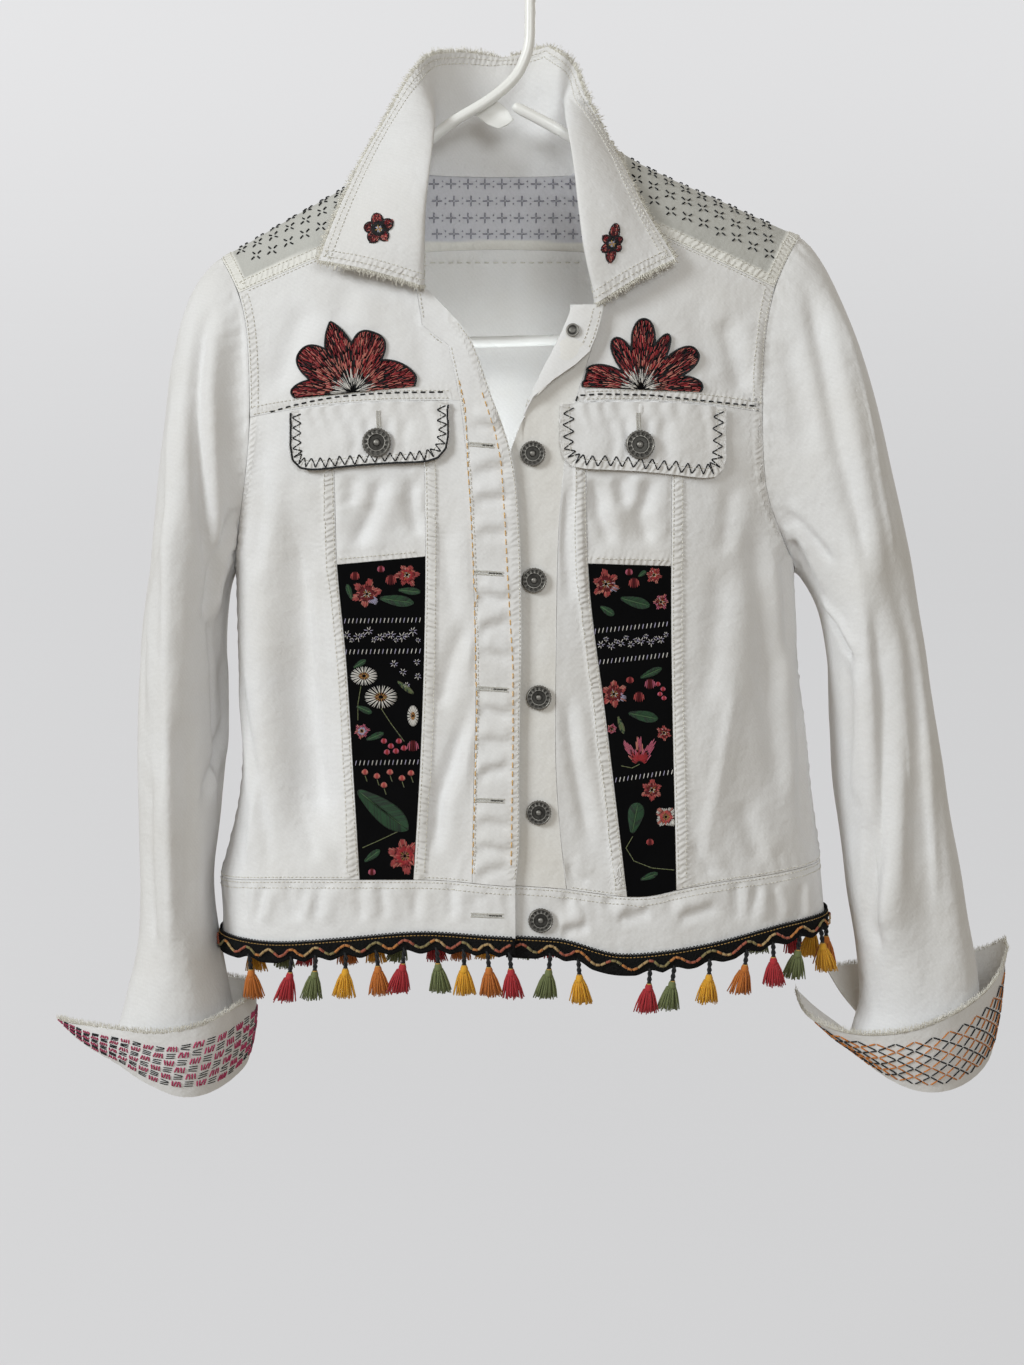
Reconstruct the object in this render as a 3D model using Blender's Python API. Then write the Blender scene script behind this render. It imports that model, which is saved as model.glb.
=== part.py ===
"""A white denim trucker jacket, decorated by hand, hanging on a plastic tube hanger.

Sizes are millimetres until a mesh is made, which is in metres. +Z is up, the front faces -Y,
and the origin is the top of the hanger's hook, where it bears on the rail. Right and left are
the wearer's: right is -X, left is +X. Heights are negative because the jacket hangs below.
"""

import math

import bpy
import numpy as np
from mathutils import Vector
from mathutils.bvhtree import BVHTree

MM = 0.001
SEAM_GAP = 0.3
DENIM = 1.5
BAND = 1.6
DOUBLE_DENIM = 2.2
OVERLAP_RISE = 5.2

# Torso. Each row is a level section: a rounded, flattened oval that bulges to the front and back.
TORSO = (
    # height, right half width, left half width, front depth, back depth
    (-760, 214, 244, 77, 54),
    (-712, 214, 243, 76, 54),
    (-686, 215, 240, 75, 54),
    (-660, 207, 237, 74, 54),
    (-630, 199, 232, 73, 55),
    (-590, 196, 228, 72, 55),
    (-550, 198, 222, 71, 55),
    (-500, 199, 218, 70, 56),
    (-460, 200, 216, 70, 56),
    (-400, 207, 222, 69, 57),
    (-345, 215, 230, 68, 57),
    (-280, 225, 240, 68, 57),
    (-220, 235, 250, 68, 57),
    (-90, 240, 255, 68, 57),
)
OVAL = 2.6
# Above these heights the front and the back lean over to meet on the shoulder ridge.
LEAN_START = {-1: -380.0, 1: -330.0}
LEAN_POWER = {-1: 2.2, 1: 3.0}
RIDGE = {-1: (-109.2, 0.568), 1: (-114.8, 0.446)}
SHOULDER_X = {-1: 209.0, 1: 218.0}
UNDERARM_Z = -460.0

ARMHOLE = {
    # height, distance of the armhole seam from the middle
    -1: ((-460, 200), (-430, 195.5), (-402, 190), (-347, 183.5), (-288, 185), (-255, 193), (-228, 209)),
    1: ((-460, 216), (-437, 206), (-405, 190), (-344, 186), (-300, 187), (-251, 196), (-212, 218)),
}
# Spans of cloth between the seams that end on the armhole, and below it.
YOKE_FRONT_ROWS, FRONT_YOKE_ROWS, ARMHOLE_ROWS = 3, 4, 6
BACK_ARMHOLE_ROWS, YOKE_BACK_ROWS, ROWS_BELOW = 7, 4, 8
OVER_ROWS = YOKE_FRONT_ROWS + YOKE_BACK_ROWS
BACK_COLUMNS, SHOULDER_COLUMNS = 17, 7

# Level seams, as height against distance along X.
CHEST_SEAM = {
    # highest x, its height, fall at a distance, that distance
    -1: (-60.0, -336.0, 11.0, 122.0),
    1: (90.0, -336.0, 8.0, 96.0),
}
SHOULDER_SEAM = {
    # height it would have in the middle, fall per millimetre
    -1: (-179.0, 0.408),
    1: (-168.5, 0.438),
}
BACK_YOKE_SEAM = (-218.0, 22.0, 186.0)
WAIST_SEAM = ((-216, -688), (-150, -682), (-53, -680), (8, -684), (38, -686), (98, -693), (142, -685),
              (196, -680), (242, -675))
HEM = ((-216, -734), (-174, -736), (-127, -731), (-54, -724), (8, -727), (41, -729), (84, -741), (143, -736),
       (204, -723), (246, -719))
BACK_DROP = 3.0
WAISTBAND_LEVELS = (0.0, 0.5, 1.0)
INSERT_TOP = {-1: ((-120, -453), (-56, -447)), 1: ((59, -452), (120, -454))}

# Upright seams, as distance along X against height.
FRONT_EDGE = {
    -1: ((-745, 10), (-721, 10), (-687, 8), (-658, 11), (-586, 11), (-507, 12.5), (-449, 12), (-407, 10),
         (-379, 7), (-357, 1), (-336, -8), (-319, -11), (-298, -20), (-276, -35), (-262, -50), (-254, -58)),
    1: ((-745, 2), (-650, 1), (-550, -2), (-386, -3)),
}
PLACKET_SEAM = {
    -1: ((-690, -23), (-622, -22), (-543, -20), (-450, -22), (-379, -26), (-337, -31), (-298, -39), (-283, -58),
         (-257, -62)),
    1: ((-692, 46), (-650, 41), (-590, 37), (-510, 37.5), (-440, 38.5), (-400, 41), (-368, 45), (-337, 51),
        (-302, 61.7), (-268, 72)),
}
# Heights of the rows that the plackets share with the yokes beside them.
PLACKET_ROWS = {-1: (-298.0, -283.0, -257.5), 1: (-302.0, -269.0)}
INNER_SEAM = {
    -1: ((-690, -66), (-580, -59.5), (-507, -57), (-447, -56), (-336, -57)),
    1: ((-692, 89), (-560, 73), (-452, 60), (-336, 58)),
}
OUTER_SEAM = {
    -1: ((-690, -104), (-594, -109.5), (-515, -114), (-453, -120), (-336, -122)),
    1: ((-692, 125), (-454, 120), (-336, 120)),
}

# The neckline, from the collar's front end over the shoulder to the middle of the back.
NECKLINE = {
    # distance along X, height, face (-1 front, 1 back); with no height the third number is the tilt over the ridge
    -1: ((-62, -257, -1), (-67, -232, -1), (-72, -208.4, -1), (-77, -180, -1), (-79, None, -0.17),
         (-79, None, -0.03), (-77, None, 0.1), (-70, -158, 1), (-58, -159.5, 1), (-44, -160, 1), (-22, -160, 1),
         (0, -160, 1)),
    1: ((72, -268, -1), (74, -238, -1), (76, -201.8, -1), (79, -178, -1), (80, None, -0.17), (79, None, -0.03),
        (77, None, 0.1), (70, -156, 1), (58, -159, 1), (44, -160, 1), (22, -160, 1), (0, -160, 1)),
}
# Rows of the collar's table that stand over these points of the neckline.
COLLAR_ROWS = (0, 1, 2, 3, 4, 4.7, 5.3, 6, 6.5, 7, 8, 9)
# The collar stands up at the back and rolls over towards its front points.
COLLAR = {
    # roll x, y, z, outer edge x, y, z
    -1: ((-60, -68, -255, -131, -58, -238), (-57, -74, -234, -124, -54, -220), (-55, -70, -205, -114, -48, -194),
         (-51, -59, -174, -101, -32, -164), (-49, -41, -146, -88, -15, -138), (-50, -12, -125, -75, -4, -111),
         (-54, 14, -114, -63, 8, -87), (-47, 36, -112, -50, 27, -75), (-25, 45, -114, -26, 43, -71),
         (0, 48, -116, 0, 50, -75)),
    1: ((67, -68, -267, 121, -57, -237), (57, -74, -240, 111, -53, -221), (52, -70, -206, 100, -49, -203),
        (49, -58, -176, 90, -41, -181), (46, -40, -148, 81, -26, -160), (44, -12, -126, 70, -12, -138),
        (45, 14, -112, 60, 0, -112), (42, 35, -108, 52, 20, -82), (24, 45, -113, 34, 41, -68),
        (0, 48, -116, 0, 50, -75)),
}
COLLAR_SEAT = 0.7
# How far the under side of the collar stands off the yoke, from the stand over the roll to the edge.
COLLAR_CLEAR = (1.5, 3.0, 5.0, 5.0, 3.5, 2.0)

# Left front edge: its top is rolled outwards like a small lapel.
LAPEL = (
    # height, fold x, free edge x
    (-268, 48.5, 68), (-282, 42.5, 65), (-292, 38, 62), (-300, 34, 59), (-311, 28, 48), (-322, 23, 32),
    (-334, 18, 20), (-347, 11.5, 12),
)
LAPEL_RISE = 5.5

# Sleeves. A ring runs from its outer point to its inner point, and bulges to the front and back.
SLEEVE = {
    # blend from the armhole, outer x, outer z, inner x, inner z, front depth, back depth, middle's shift forward
    -1: ((0.25, -218, -231, -202.5, -463, 50, 44, 0), (0.52, -229, -241, -205, -469, 52, 45, 0),
         (0.80, -239, -263, -207, -479, 54, 46, 0), (1.0, -246, -304, -208, -492, 56, 48, 0),
         (1.0, -253, -358, -210, -511, 56, 49, 0), (1.0, -260, -414, -210, -535, 56, 49, 1),
         (1.0, -266, -470, -211, -562, 54, 49, 2), (1.0, -271, -524, -212, -591, 53, 49, 3),
         (1.0, -275, -574, -214, -621, 51, 48, 4), (1.0, -275, -620, -218, -651, 50, 46, 5),
         (1.0, -274, -663, -221, -680, 48, 44, 6), (1.0, -273, -703, -220, -708, 47, 42, 6),
         (1.0, -276, -739, -217, -737, 46, 41, 6), (1.0, -284, -772, -210, -770, 46, 41, 6),
         (1.0, -291, -800, -205, -801, 46, 40, 6)),
    1: ((0.25, 226, -217, 219, -463, 50, 44, 0), (0.52, 238, -229, 224, -468, 52, 45, 0),
        (0.80, 251, -254, 230, -477, 54, 46, 0), (1.0, 264, -294, 236, -489, 56, 48, 0),
        (1.0, 278, -347, 241, -507, 56, 48, 0), (1.0, 292, -404, 244, -530, 56, 49, 0),
        (1.0, 303, -462, 246, -557, 55, 49, 0), (1.0, 313, -517, 248, -587, 53, 49, 0),
        (1.0, 322, -568, 250, -617, 52, 48, 0), (1.0, 331, -616, 253, -647, 51, 47, 0),
        (1.0, 340, -661, 257, -676, 48, 44, 0), (1.0, 347, -702, 261, -706, 47, 43, 0),
        (1.0, 354, -738, 266, -735, 46, 42, 0), (1.0, 360, -768, 270, -764, 46, 42, 0),
        (1.0, 363, -790, 272, -788, 46, 42, 0)),
}
SLEEVE_OVAL = 2.3
CUFF_INSET, CUFF_DEPTH = 2.6, 1.5
CUFF_COLUMNS, CUFF_ROWS = 23, 5

# Long soft folds in the sleeves. Turn is degrees round a ring from the outer point, by the front.
SLEEVE_FOLDS = {
    # top ring, its turn, bottom ring, its turn, height, width in degrees
    -1: ((3, 42, 15, 66, -6.0, 20), (4, 78, 15, 100, 6.5, 26), (4, 130, 10, 140, -7.5, 24),
         (5, 196, 11, 190, 4.0, 26), (3, 262, 13, 250, -4.5, 26), (4, 318, 14, 322, 4.5, 28),
         (9, 124, 14, 126, 6.0, 22)),
    1: ((3, 34, 14, 48, 4.0, 20), (4, 60, 14, 84, -7.5, 22), (4, 104, 14, 112, 6.0, 26),
        (6, 150, 11, 150, -5.5, 26), (4, 248, 13, 256, -4.5, 26), (4, 316, 13, 312, 4.5, 28)),
}
# Long soft folds in the body: a ridge is positive, a trough negative.
BODY_FOLDS = {
    -1: (
        # top x, top z, bottom x, bottom z, height, width
        (-174, -352, -124, -540, 4.5, 15), (-150, -500, -146, -670, -4.0, 20), (-186, -480, -176, -672, 3.5, 14),
        (-40, -500, -42, -670, -3.5, 13), (-160, -262, -170, -340, -3.0, 12),
        (204, -442, 150, -600, 4.5, 14), (184, -470, 190, -640, -5.0, 14), (160, -560, 138, -672, 3.0, 14),
        (64, -470, 66, -672, -3.0, 12), (160, -262, 172, -338, -3.0, 12),
    ),
    1: (
        (-120, -300, -128, -660, 4.0, 24), (-62, -260, -56, -640, -4.0, 26), (20, -270, 12, -660, 3.5, 28),
        (84, -260, 96, -650, -4.0, 26), (150, -300, 160, -660, 4.0, 24),
    ),
}

# Cuffs, turned up and spread open. Each row is a station round the cuff, slit end to slit end.
CUFF = {
    # fold x, y, z, raw edge x, y, z
    -1: ((-303, -36, -819, -340, -6, -800), (-287, -45, -824, -318, -32, -797), (-266, -52, -836, -284, -53, -796),
         (-243, -54, -846, -252, -63, -796), (-222, -50, -846, -221, -59, -791), (-204, -35, -839, -201, -40, -783),
         (-195, -8, -832, -188, -9, -779), (-201, 20, -828, -195, 27, -780), (-222, 38, -826, -216, 47, -780),
         (-250, 43, -824, -250, 53, -779), (-276, 34, -822, -283, 45, -781)),
    1: ((262, 6, -813, 222, -2, -779), (261, -18, -817, 225, -28, -791), (271, -40, -826, 247, -53, -797),
        (289, -50, -837, 274, -64, -797), (310, -54, -843, 300, -68, -792), (332, -50, -842, 326, -62, -784),
        (354, -37, -835, 351, -44, -775), (369, -14, -826, 374, -16, -763), (373, 8, -820, 384, 6, -742),
        (361, 29, -816, 372, 35, -757), (335, 42, -812, 342, 55, -766), (305, 43, -810, 300, 59, -769),
        (279, 31, -810, 252, 46, -773)),
}

# Pocket flaps: a strip that hangs from the chest seam, its lower corners rounded.
FLAP = {
    # low end x, high end x, drop at the low end, drop at the high end, corner radius
    -1: (-153.0, -39.0, 45.0, 43.0, 17.0),
    1: (40.0, 159.0, 46.0, 53.0, 17.0),
}
FLAP_LIFT = 2.2

# Half flowers on the front yokes.
HALF_FLOWER = {
    # middle x, radius, petals as (middle in degrees, reach share, half width in degrees)
    -1: (-110.0, 49.0, ((10, 0.94, 19), (56, 0.90, 22), (101, 1.0, 18), (142, 0.84, 20), (170, 0.86, 13))),
    1: (100.0, 48.0, ((9, 0.90, 17), (44, 0.94, 18), (90, 1.06, 18), (130, 0.88, 17), (167, 0.94, 18))),
}
FLOWER_THICK = 1.0
PROBES = ((0, 0), (2.5, 0), (-2.5, 0), (0, 2.5), (0, -2.5))

# Shank buttons, turned: radius and height from the foot.
BUTTON = ((3.2, 0.0), (3.2, 1.5), (8.3, 1.9), (8.5, 3.2), (6.6, 3.9), (3.0, 3.1))
FLAP_BUTTON = ((3.2, 0.0), (3.2, 1.5), (9.1, 1.9), (9.3, 3.3), (7.2, 4.0), (3.2, 3.2))
RIVET = ((4.6, 0.0), (4.6, 0.9), (2.4, 1.5))
BUTTON_SIDES = 10
PLACKET_BUTTONS = ((20.5, -374.0), (21.5, -464.0), (25.0, -548.0), (25.0, -631.0), (26.5, -709.0))
FLAP_BUTTONS = {-1: (-90.0, -366.5), 1: (96.5, -368.0)}
LAPEL_RIVET = (48.8, -287.3)

# Braid with tassels along the hem. Distances along the braid are from the front edges.
BRAID_RISE, BRAID_FALL, BRAID_THICK = 6.0, 7.5, 1.6
TASSEL_PITCH, TASSEL_WIDTH = 23.5, 3.4
RIGHT_TASSELS = (4.0, 20.0, 37.0, 57.0, 80.5, 103.0, 124.0, 146.5, 166.5, 201.0)
LEFT_TASSELS = (33.0, 53.0, 108.0, 125.5, 151.0, 180.0, 201.0)
SIDE_PRESSED = (205.0, 296.0)
CORD_LENGTH, HEAD_LENGTH, SKIRT_LENGTH = 10.5, 5.0, 17.0
HEAD_RADIUS, SKIRT_SPREAD, STRAND_TIP = 3.4, 5.0, 0.8

# Hanger: one bent tube and a small web plate under the neck.
TUBE_RADIUS = 4.5
STEM_X, HOOK_RADIUS = 19.0, 19.5
HANGER_STEM = ((19, 0, -38), (19, 0, -60), (18, 0, -78), (12, 0, -93), (0, 0, -106), (-16, 0, -117.5))
HANGER_ARMS = {
    # x, height; a height of None lies just under the cloth of the shoulder
    -1: ((-34, -127.5), (-49, -138.0), (-64, -151.0), (-80, None), (-120, None), (-160, None), (-184, None)),
    1: ((28, -129.0), (45, -138.5), (61, -148.0), (80, None), (120, None), (160, None), (192, None)),
}
HANGER_END = {
    # steps from the arm's last point down to the bar
    -1: ((-9, 0, -9), (-12, 0, -24), (-8, 0, -42), (6, 0, -60)),
    1: ((9, 0, -9), (12, 0, -26), (9, 0, -50), (-4, 0, -74)),
}
HANGER_BAR = ((-150, 0, -292.5), (-75, 0, -291.5), (0, 0, -289.5), (75, 0, -287.5), (150, 0, -286.0))
HANGER_TIP = (9.0, 0.0, -119.5)
WEB_PLATE = ((-23, -123), (-12, -131), (-4, -134), (3, -131), (7, -127.5), (3, -120.5), (-6, -113), (-15, -117.5))
WEB_PLATE_Y = (4.5, 6.5)

PALETTE = {
    # colour (linear), roughness, metallic
    "white denim": ((0.80, 0.78, 0.73, 1), 0.85, 0.0),
    "grey cotton": ((0.62, 0.62, 0.63, 1), 0.9, 0.0),
    "black cloth": ((0.015, 0.015, 0.017, 1), 0.8, 0.0),
    "red embroidery": ((0.35, 0.03, 0.05, 1), 0.7, 0.0),
    "black braid": ((0.02, 0.02, 0.02, 1), 0.8, 0.0),
    "dark metal": ((0.12, 0.12, 0.12, 1), 0.35, 1.0),
    "white plastic": ((0.85, 0.85, 0.83, 1), 0.35, 0.0),
}


def smooth_through(rows, column=1):
    """A smooth curve through a table's first column and one other, with no overshoot between rows."""
    keys = np.array([row[0] for row in rows], float)
    values = np.array([row[column] for row in rows], float)
    order = np.argsort(keys)
    keys, values = keys[order], values[order]
    slope = np.diff(values) / np.diff(keys)
    tangent = np.empty_like(values)
    tangent[0], tangent[-1] = slope[0], slope[-1]
    for i in range(1, len(keys) - 1):
        same_way = slope[i - 1] * slope[i] > 0
        tangent[i] = 2 * slope[i - 1] * slope[i] / (slope[i - 1] + slope[i]) if same_way else 0.0

    def at(key):
        key = min(max(key, keys[0]), keys[-1])
        i = min(int(np.searchsorted(keys, key, side="right")) - 1, len(keys) - 2)
        width = keys[i + 1] - keys[i]
        t = (key - keys[i]) / width
        rise = (
            values[i] * (1 + 2 * t) * (1 - t) ** 2
            + tangent[i] * width * t * (1 - t) ** 2
            + values[i + 1] * t * t * (3 - 2 * t)
            - tangent[i + 1] * width * t * t * (1 - t)
        )
        return float(rise)

    return at


half_width = {-1: smooth_through(TORSO, 1), 1: smooth_through(TORSO, 2)}
depth = {-1: smooth_through(TORSO, 3), 1: smooth_through(TORSO, 4)}
armhole_x = {side: smooth_through(ARMHOLE[side]) for side in ARMHOLE}
front_edge = {side: smooth_through(FRONT_EDGE[side]) for side in FRONT_EDGE}
placket_seam = {side: smooth_through(PLACKET_SEAM[side]) for side in PLACKET_SEAM}
inner_seam = {side: smooth_through(INNER_SEAM[side]) for side in INNER_SEAM}
outer_seam = {side: smooth_through(OUTER_SEAM[side]) for side in OUTER_SEAM}
insert_top = {side: smooth_through(INSERT_TOP[side]) for side in INSERT_TOP}
front_waist = smooth_through(WAIST_SEAM)
front_hem = smooth_through(HEM)


def side_of(x):
    return 1 if x >= 0 else -1


def eased(t):
    t = min(max(t, 0.0), 1.0)
    return t * t * (3 - 2 * t)


def unit(vector):
    return vector / max(np.linalg.norm(vector), 1e-9)


def ridge_height(x):
    """Height of the shoulder ridge, where the front meets the back over the hanger."""
    top, fall = RIDGE[side_of(x)]
    return top - fall * abs(x)


def chest_seam(x):
    middle, top, fall, reach = CHEST_SEAM[side_of(x)]
    return top - fall * ((x - middle) / reach) ** 2


def shoulder_seam(x):
    top, fall = SHOULDER_SEAM[side_of(x)]
    return top - fall * abs(x)


def back_yoke_seam(x):
    top, fall, reach = BACK_YOKE_SEAM
    return top - fall * (x / reach) ** 2


def level_seam(front_curve, x, face):
    """A seam that runs all round: the front follows its curve, the back runs straight between the sides."""
    if face < 0:
        return front_curve(x)
    right, left = -half_width[-1](-700.0), half_width[1](-700.0)
    share = min(max((x - right) / (left - right), 0.0), 1.0)
    ends = front_curve(right) * (1 - share) + front_curve(left) * share
    return ends - BACK_DROP * math.sin(math.pi * share)


def back_waist(x):
    return level_seam(front_waist, x, 1)


def overlap_lift(x, z):
    """The right front lies over the left one, so it stands proud towards its edge."""
    return OVERLAP_RISE * eased((x + 58) / 46)


def no_lift(x, z):
    return 0.0


LIFT = {-1: overlap_lift, 1: no_lift}


def body_relief(x, z, face):
    """Height of the cloth's long folds over the plain torso."""
    height = 0.0
    for x_top, z_top, x_low, z_low, fold, width in BODY_FOLDS[face]:
        t = (z_top - z) / (z_top - z_low)
        if -0.1 < t < 1.2:
            fade = eased(t / 0.25) * eased((1.12 - t) / 0.3)
            away = (x - (x_top + (x_low - x_top) * t)) / width
            height += fold * fade * math.exp(-away * away)
    return height


def turn_of(x, z):
    """Where x lies round the oval section at z, in radians: 0 in the middle and a quarter turn at the side."""
    share = min(abs(x) / half_width[side_of(x)](z), 1.0)
    return side_of(x) * math.asin(share ** (OVAL / 2))


def x_of_turn(turn, z):
    side = 1 if turn >= 0 else -1
    return side * half_width[side](z) * math.sin(min(abs(turn), math.pi / 2)) ** (2 / OVAL)


def lean_at(x, z, face):
    """The share of the depth that is left at height z, where the panel leans over to the ridge."""
    start, power = LEAN_START[face], LEAN_POWER[face]
    if z <= start:
        return 1.0
    rise = min((z - start) / (ridge_height(x) - start), 1.0)
    return (1 - rise**power) ** (1 / power)


def oval_at(x, z):
    share = min(abs(x) / half_width[side_of(x)](z), 1.0)
    return (1 - share**OVAL) ** (1 / OVAL)


def on_body(x, z, face, lift=0.0):
    """The point of the outer cloth surface at x and z, on the front (face -1) or the back (face 1)."""
    fullness = oval_at(x, z) * lean_at(x, z, face)
    out = depth[face](z) * fullness + body_relief(x, z, face) * eased(fullness * 1.6)
    return np.array((x, face * (SEAM_GAP / 2 + out + lift), z))


def outward(x, z, face, lift=no_lift):
    """Unit normal of the outer cloth surface at x and z."""
    turn = turn_of(x, z)
    limit = math.pi / 2
    before, after = max(turn - 0.03, -limit), min(turn + 0.03, limit)

    def at(angle, height):
        place = x_of_turn(angle, height)
        return on_body(place, height, face, lift(place, height))

    across = at(after, z) - at(before, z)
    along = at(turn, z + 2.0) - at(turn, z - 2.0)
    return unit(np.cross(across, along)) * -face


def over_shoulder(x, tilt):
    """A point near the ridge. Tilt runs from -1 (front) over 0 (ridge) to 1 (back)."""
    face = 1 if tilt >= 0 else -1
    start, power = LEAN_START[face], LEAN_POWER[face]
    angle = abs(tilt) * math.pi / 2
    z = start + (ridge_height(x) - start) * math.cos(angle) ** (2 / power)
    fullness = oval_at(x, z) * math.sin(angle) ** (2 / power)
    out = depth[face](z) * fullness + body_relief(x, z, face) * eased(fullness * 1.6)
    return np.array((x, face * out, z))


def over_shoulder_outward(x, tilt):
    across = over_shoulder(x + 1.0, tilt) - over_shoulder(x - 1.0, tilt)
    along = over_shoulder(x, tilt - 0.03) - over_shoulder(x, tilt + 0.03)
    return -unit(np.cross(across, along))


def tilt_of(x, z, face):
    """The tilt that over_shoulder needs to reach height z."""
    start, power = LEAN_START[face], LEAN_POWER[face]
    rise = min(max((z - start) / (ridge_height(x) - start), 0.0), 1.0)
    return face * math.acos(rise ** (power / 2)) / (math.pi / 2)


def neck_tilt(x, z, face):
    """Tilt of a row of the neckline table."""
    return face if z is None else tilt_of(x, z, face)


def catmull(points, t):
    """A point on the smooth line through the given points, for t from 0 to 1."""
    last = len(points) - 1
    place = min(max(t, 0.0), 1.0) * last
    i = min(int(place), last - 1)
    u = place - i
    a, b = points[i], points[i + 1]
    before = points[i - 1] if i > 0 else 2 * a - b
    after = points[i + 2] if i + 2 <= last else 2 * b - a
    return 0.5 * (
        2 * a
        + (b - before) * u
        + (2 * before - 5 * a + 4 * b - after) * u * u
        + (3 * a - before - 3 * b + after) * u**3
    )


def grid_normals(grid, round_rows=False):
    """Unit normals of a grid of points; with round_rows each row closes on itself."""
    if round_rows:
        across = np.roll(grid, -1, axis=1) - np.roll(grid, 1, axis=1)
    else:
        across = np.gradient(grid, axis=1)
    along = np.gradient(grid, axis=0)
    normals = np.cross(across, along)
    return normals / np.maximum(np.linalg.norm(normals, axis=2, keepdims=True), 1e-9)


def material(name):
    made = bpy.data.materials.get(name)
    if made is None:
        colour, roughness, metallic = PALETTE[name]
        made = bpy.data.materials.new(name)
        made.use_nodes = True
        shader = made.node_tree.nodes["Principled BSDF"]
        shader.inputs["Base Color"].default_value = colour
        shader.inputs["Roughness"].default_value = roughness
        shader.inputs["Metallic"].default_value = metallic
        made.diffuse_color = colour
    return made


def add_object(name, points, faces, finish):
    """Makes a closed mesh object from points in millimetres, its faces turned outwards."""
    points = np.asarray(points, float) * MM
    volume = 0.0
    for face in faces:
        for i in range(1, len(face) - 1):
            volume += np.dot(points[face[0]], np.cross(points[face[i]], points[face[i + 1]]))
    if volume < 0:
        faces = [tuple(reversed(face)) for face in faces]
    mesh = bpy.data.meshes.new(name)
    mesh.from_pydata([tuple(p) for p in points], [], faces)
    mesh.validate()
    mesh.materials.append(material(finish))
    mesh.shade_smooth()
    mesh.set_sharp_from_angle(angle=math.radians(40))
    made = bpy.data.objects.new(name, mesh)
    bpy.context.scene.collection.objects.link(made)
    return made


def wall(name, outer, inner, finish, round_rows=False):
    """A cloth wall between two grids of points; with round_rows it is a tube."""
    outer, inner = np.asarray(outer, float), np.asarray(inner, float)
    rows, columns = outer.shape[:2]
    points = np.concatenate([outer.reshape(-1, 3), inner.reshape(-1, 3)])
    half = rows * columns
    spans = columns if round_rows else columns - 1

    def index(row, column, layer=0):
        return layer * half + row * columns + column % columns

    faces = []
    for r in range(rows - 1):
        for c in range(spans):
            quad = [index(r, c), index(r, c + 1), index(r + 1, c + 1), index(r + 1, c)]
            faces.append(tuple(quad))
            faces.append(tuple(i + half for i in reversed(quad)))
    top, end = rows - 1, columns - 1
    for c in range(spans):
        faces.append((index(0, c + 1), index(0, c), index(0, c, 1), index(0, c + 1, 1)))
        faces.append((index(top, c), index(top, c + 1), index(top, c + 1, 1), index(top, c, 1)))
    if not round_rows:
        for r in range(rows - 1):
            faces.append((index(r, 0), index(r + 1, 0), index(r + 1, 0, 1), index(r, 0, 1)))
            faces.append((index(r + 1, end), index(r, end), index(r, end, 1), index(r + 1, end, 1)))
    return add_object(name, points, faces, finish)


def surface_of(names):
    """The cloth that lies under an applied piece: looks along Y from the front and gives y in millimetres."""
    corners, faces = [], []
    for name in names:
        mesh = bpy.data.objects[name].data
        offset = len(corners)
        corners += [vertex.co.copy() for vertex in mesh.vertices]
        faces += [tuple(i + offset for i in polygon.vertices) for polygon in mesh.polygons]
    tree = BVHTree.FromPolygons(corners, faces)

    def y_at(x, z):
        for dx, dz in ((0, 0), (0.4, 0), (-0.4, 0), (0, 0.4), (0, -0.4), (0.8, 0.8), (-0.8, -0.8), (2, 0), (-2, 0)):
            hit = tree.ray_cast(Vector(((x + dx) * MM, -0.5, (z + dz) * MM)), Vector((0.0, 1.0, 0.0)))
            if hit[0] is not None:
                return hit[0].y / MM
        raise ValueError(f"no cloth at {x:.1f}, {z:.1f}")

    return y_at


def armhole_z(side, turn):
    """Height on the armhole seam at a turn: 0 is the shoulder point and half a turn the underarm."""
    shoulder = ridge_height(side * SHOULDER_X[side])
    return (shoulder + UNDERARM_Z) / 2 + (shoulder - UNDERARM_Z) / 2 * math.cos(turn)


def armhole_turn(side, z):
    shoulder = ridge_height(side * SHOULDER_X[side])
    middle, reach = (shoulder + UNDERARM_Z) / 2, (shoulder - UNDERARM_Z) / 2
    return math.acos(min(max((z - middle) / reach, -1.0), 1.0))


def armhole_crossing(side, seam):
    """Height where a level seam runs into the armhole."""
    z = -300.0
    for _ in range(30):
        z = seam(side * armhole_x[side](z))
    return z


def armhole_turns(side):
    """Turns of the armhole's points, so that every seam which ends there ends on a point."""
    shoulder = armhole_turn(side, armhole_crossing(side, shoulder_seam))
    chest = armhole_turn(side, armhole_crossing(side, chest_seam))
    back = 2 * math.pi - armhole_turn(side, armhole_crossing(side, back_yoke_seam))
    stops = (0.0, shoulder, chest, math.pi, back, 2 * math.pi)
    spans = (YOKE_FRONT_ROWS, FRONT_YOKE_ROWS, ARMHOLE_ROWS, BACK_ARMHOLE_ROWS, YOKE_BACK_ROWS)
    turns = []
    for start, stop, count in zip(stops, stops[1:], spans):
        turns += list(np.linspace(start, stop, count + 1)[:-1])
    return turns


def armhole_place(side, turn):
    """X, height and face of the armhole seam at a turn."""
    z = armhole_z(side, turn)
    face = -1 if turn <= math.pi else 1
    return side * min(armhole_x[side](z), half_width[side](z)), z, face


def side_limit(side, z):
    """The outer limit of a body panel: the armhole seam, and below it the side seam."""
    if z > UNDERARM_Z + 0.5:
        inset = SEAM_GAP / 2 * min((z - UNDERARM_Z) / 20, 1.0)
        return side * (min(armhole_x[side](z), half_width[side](z)) - inset)
    return side * half_width[side](z)


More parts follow.
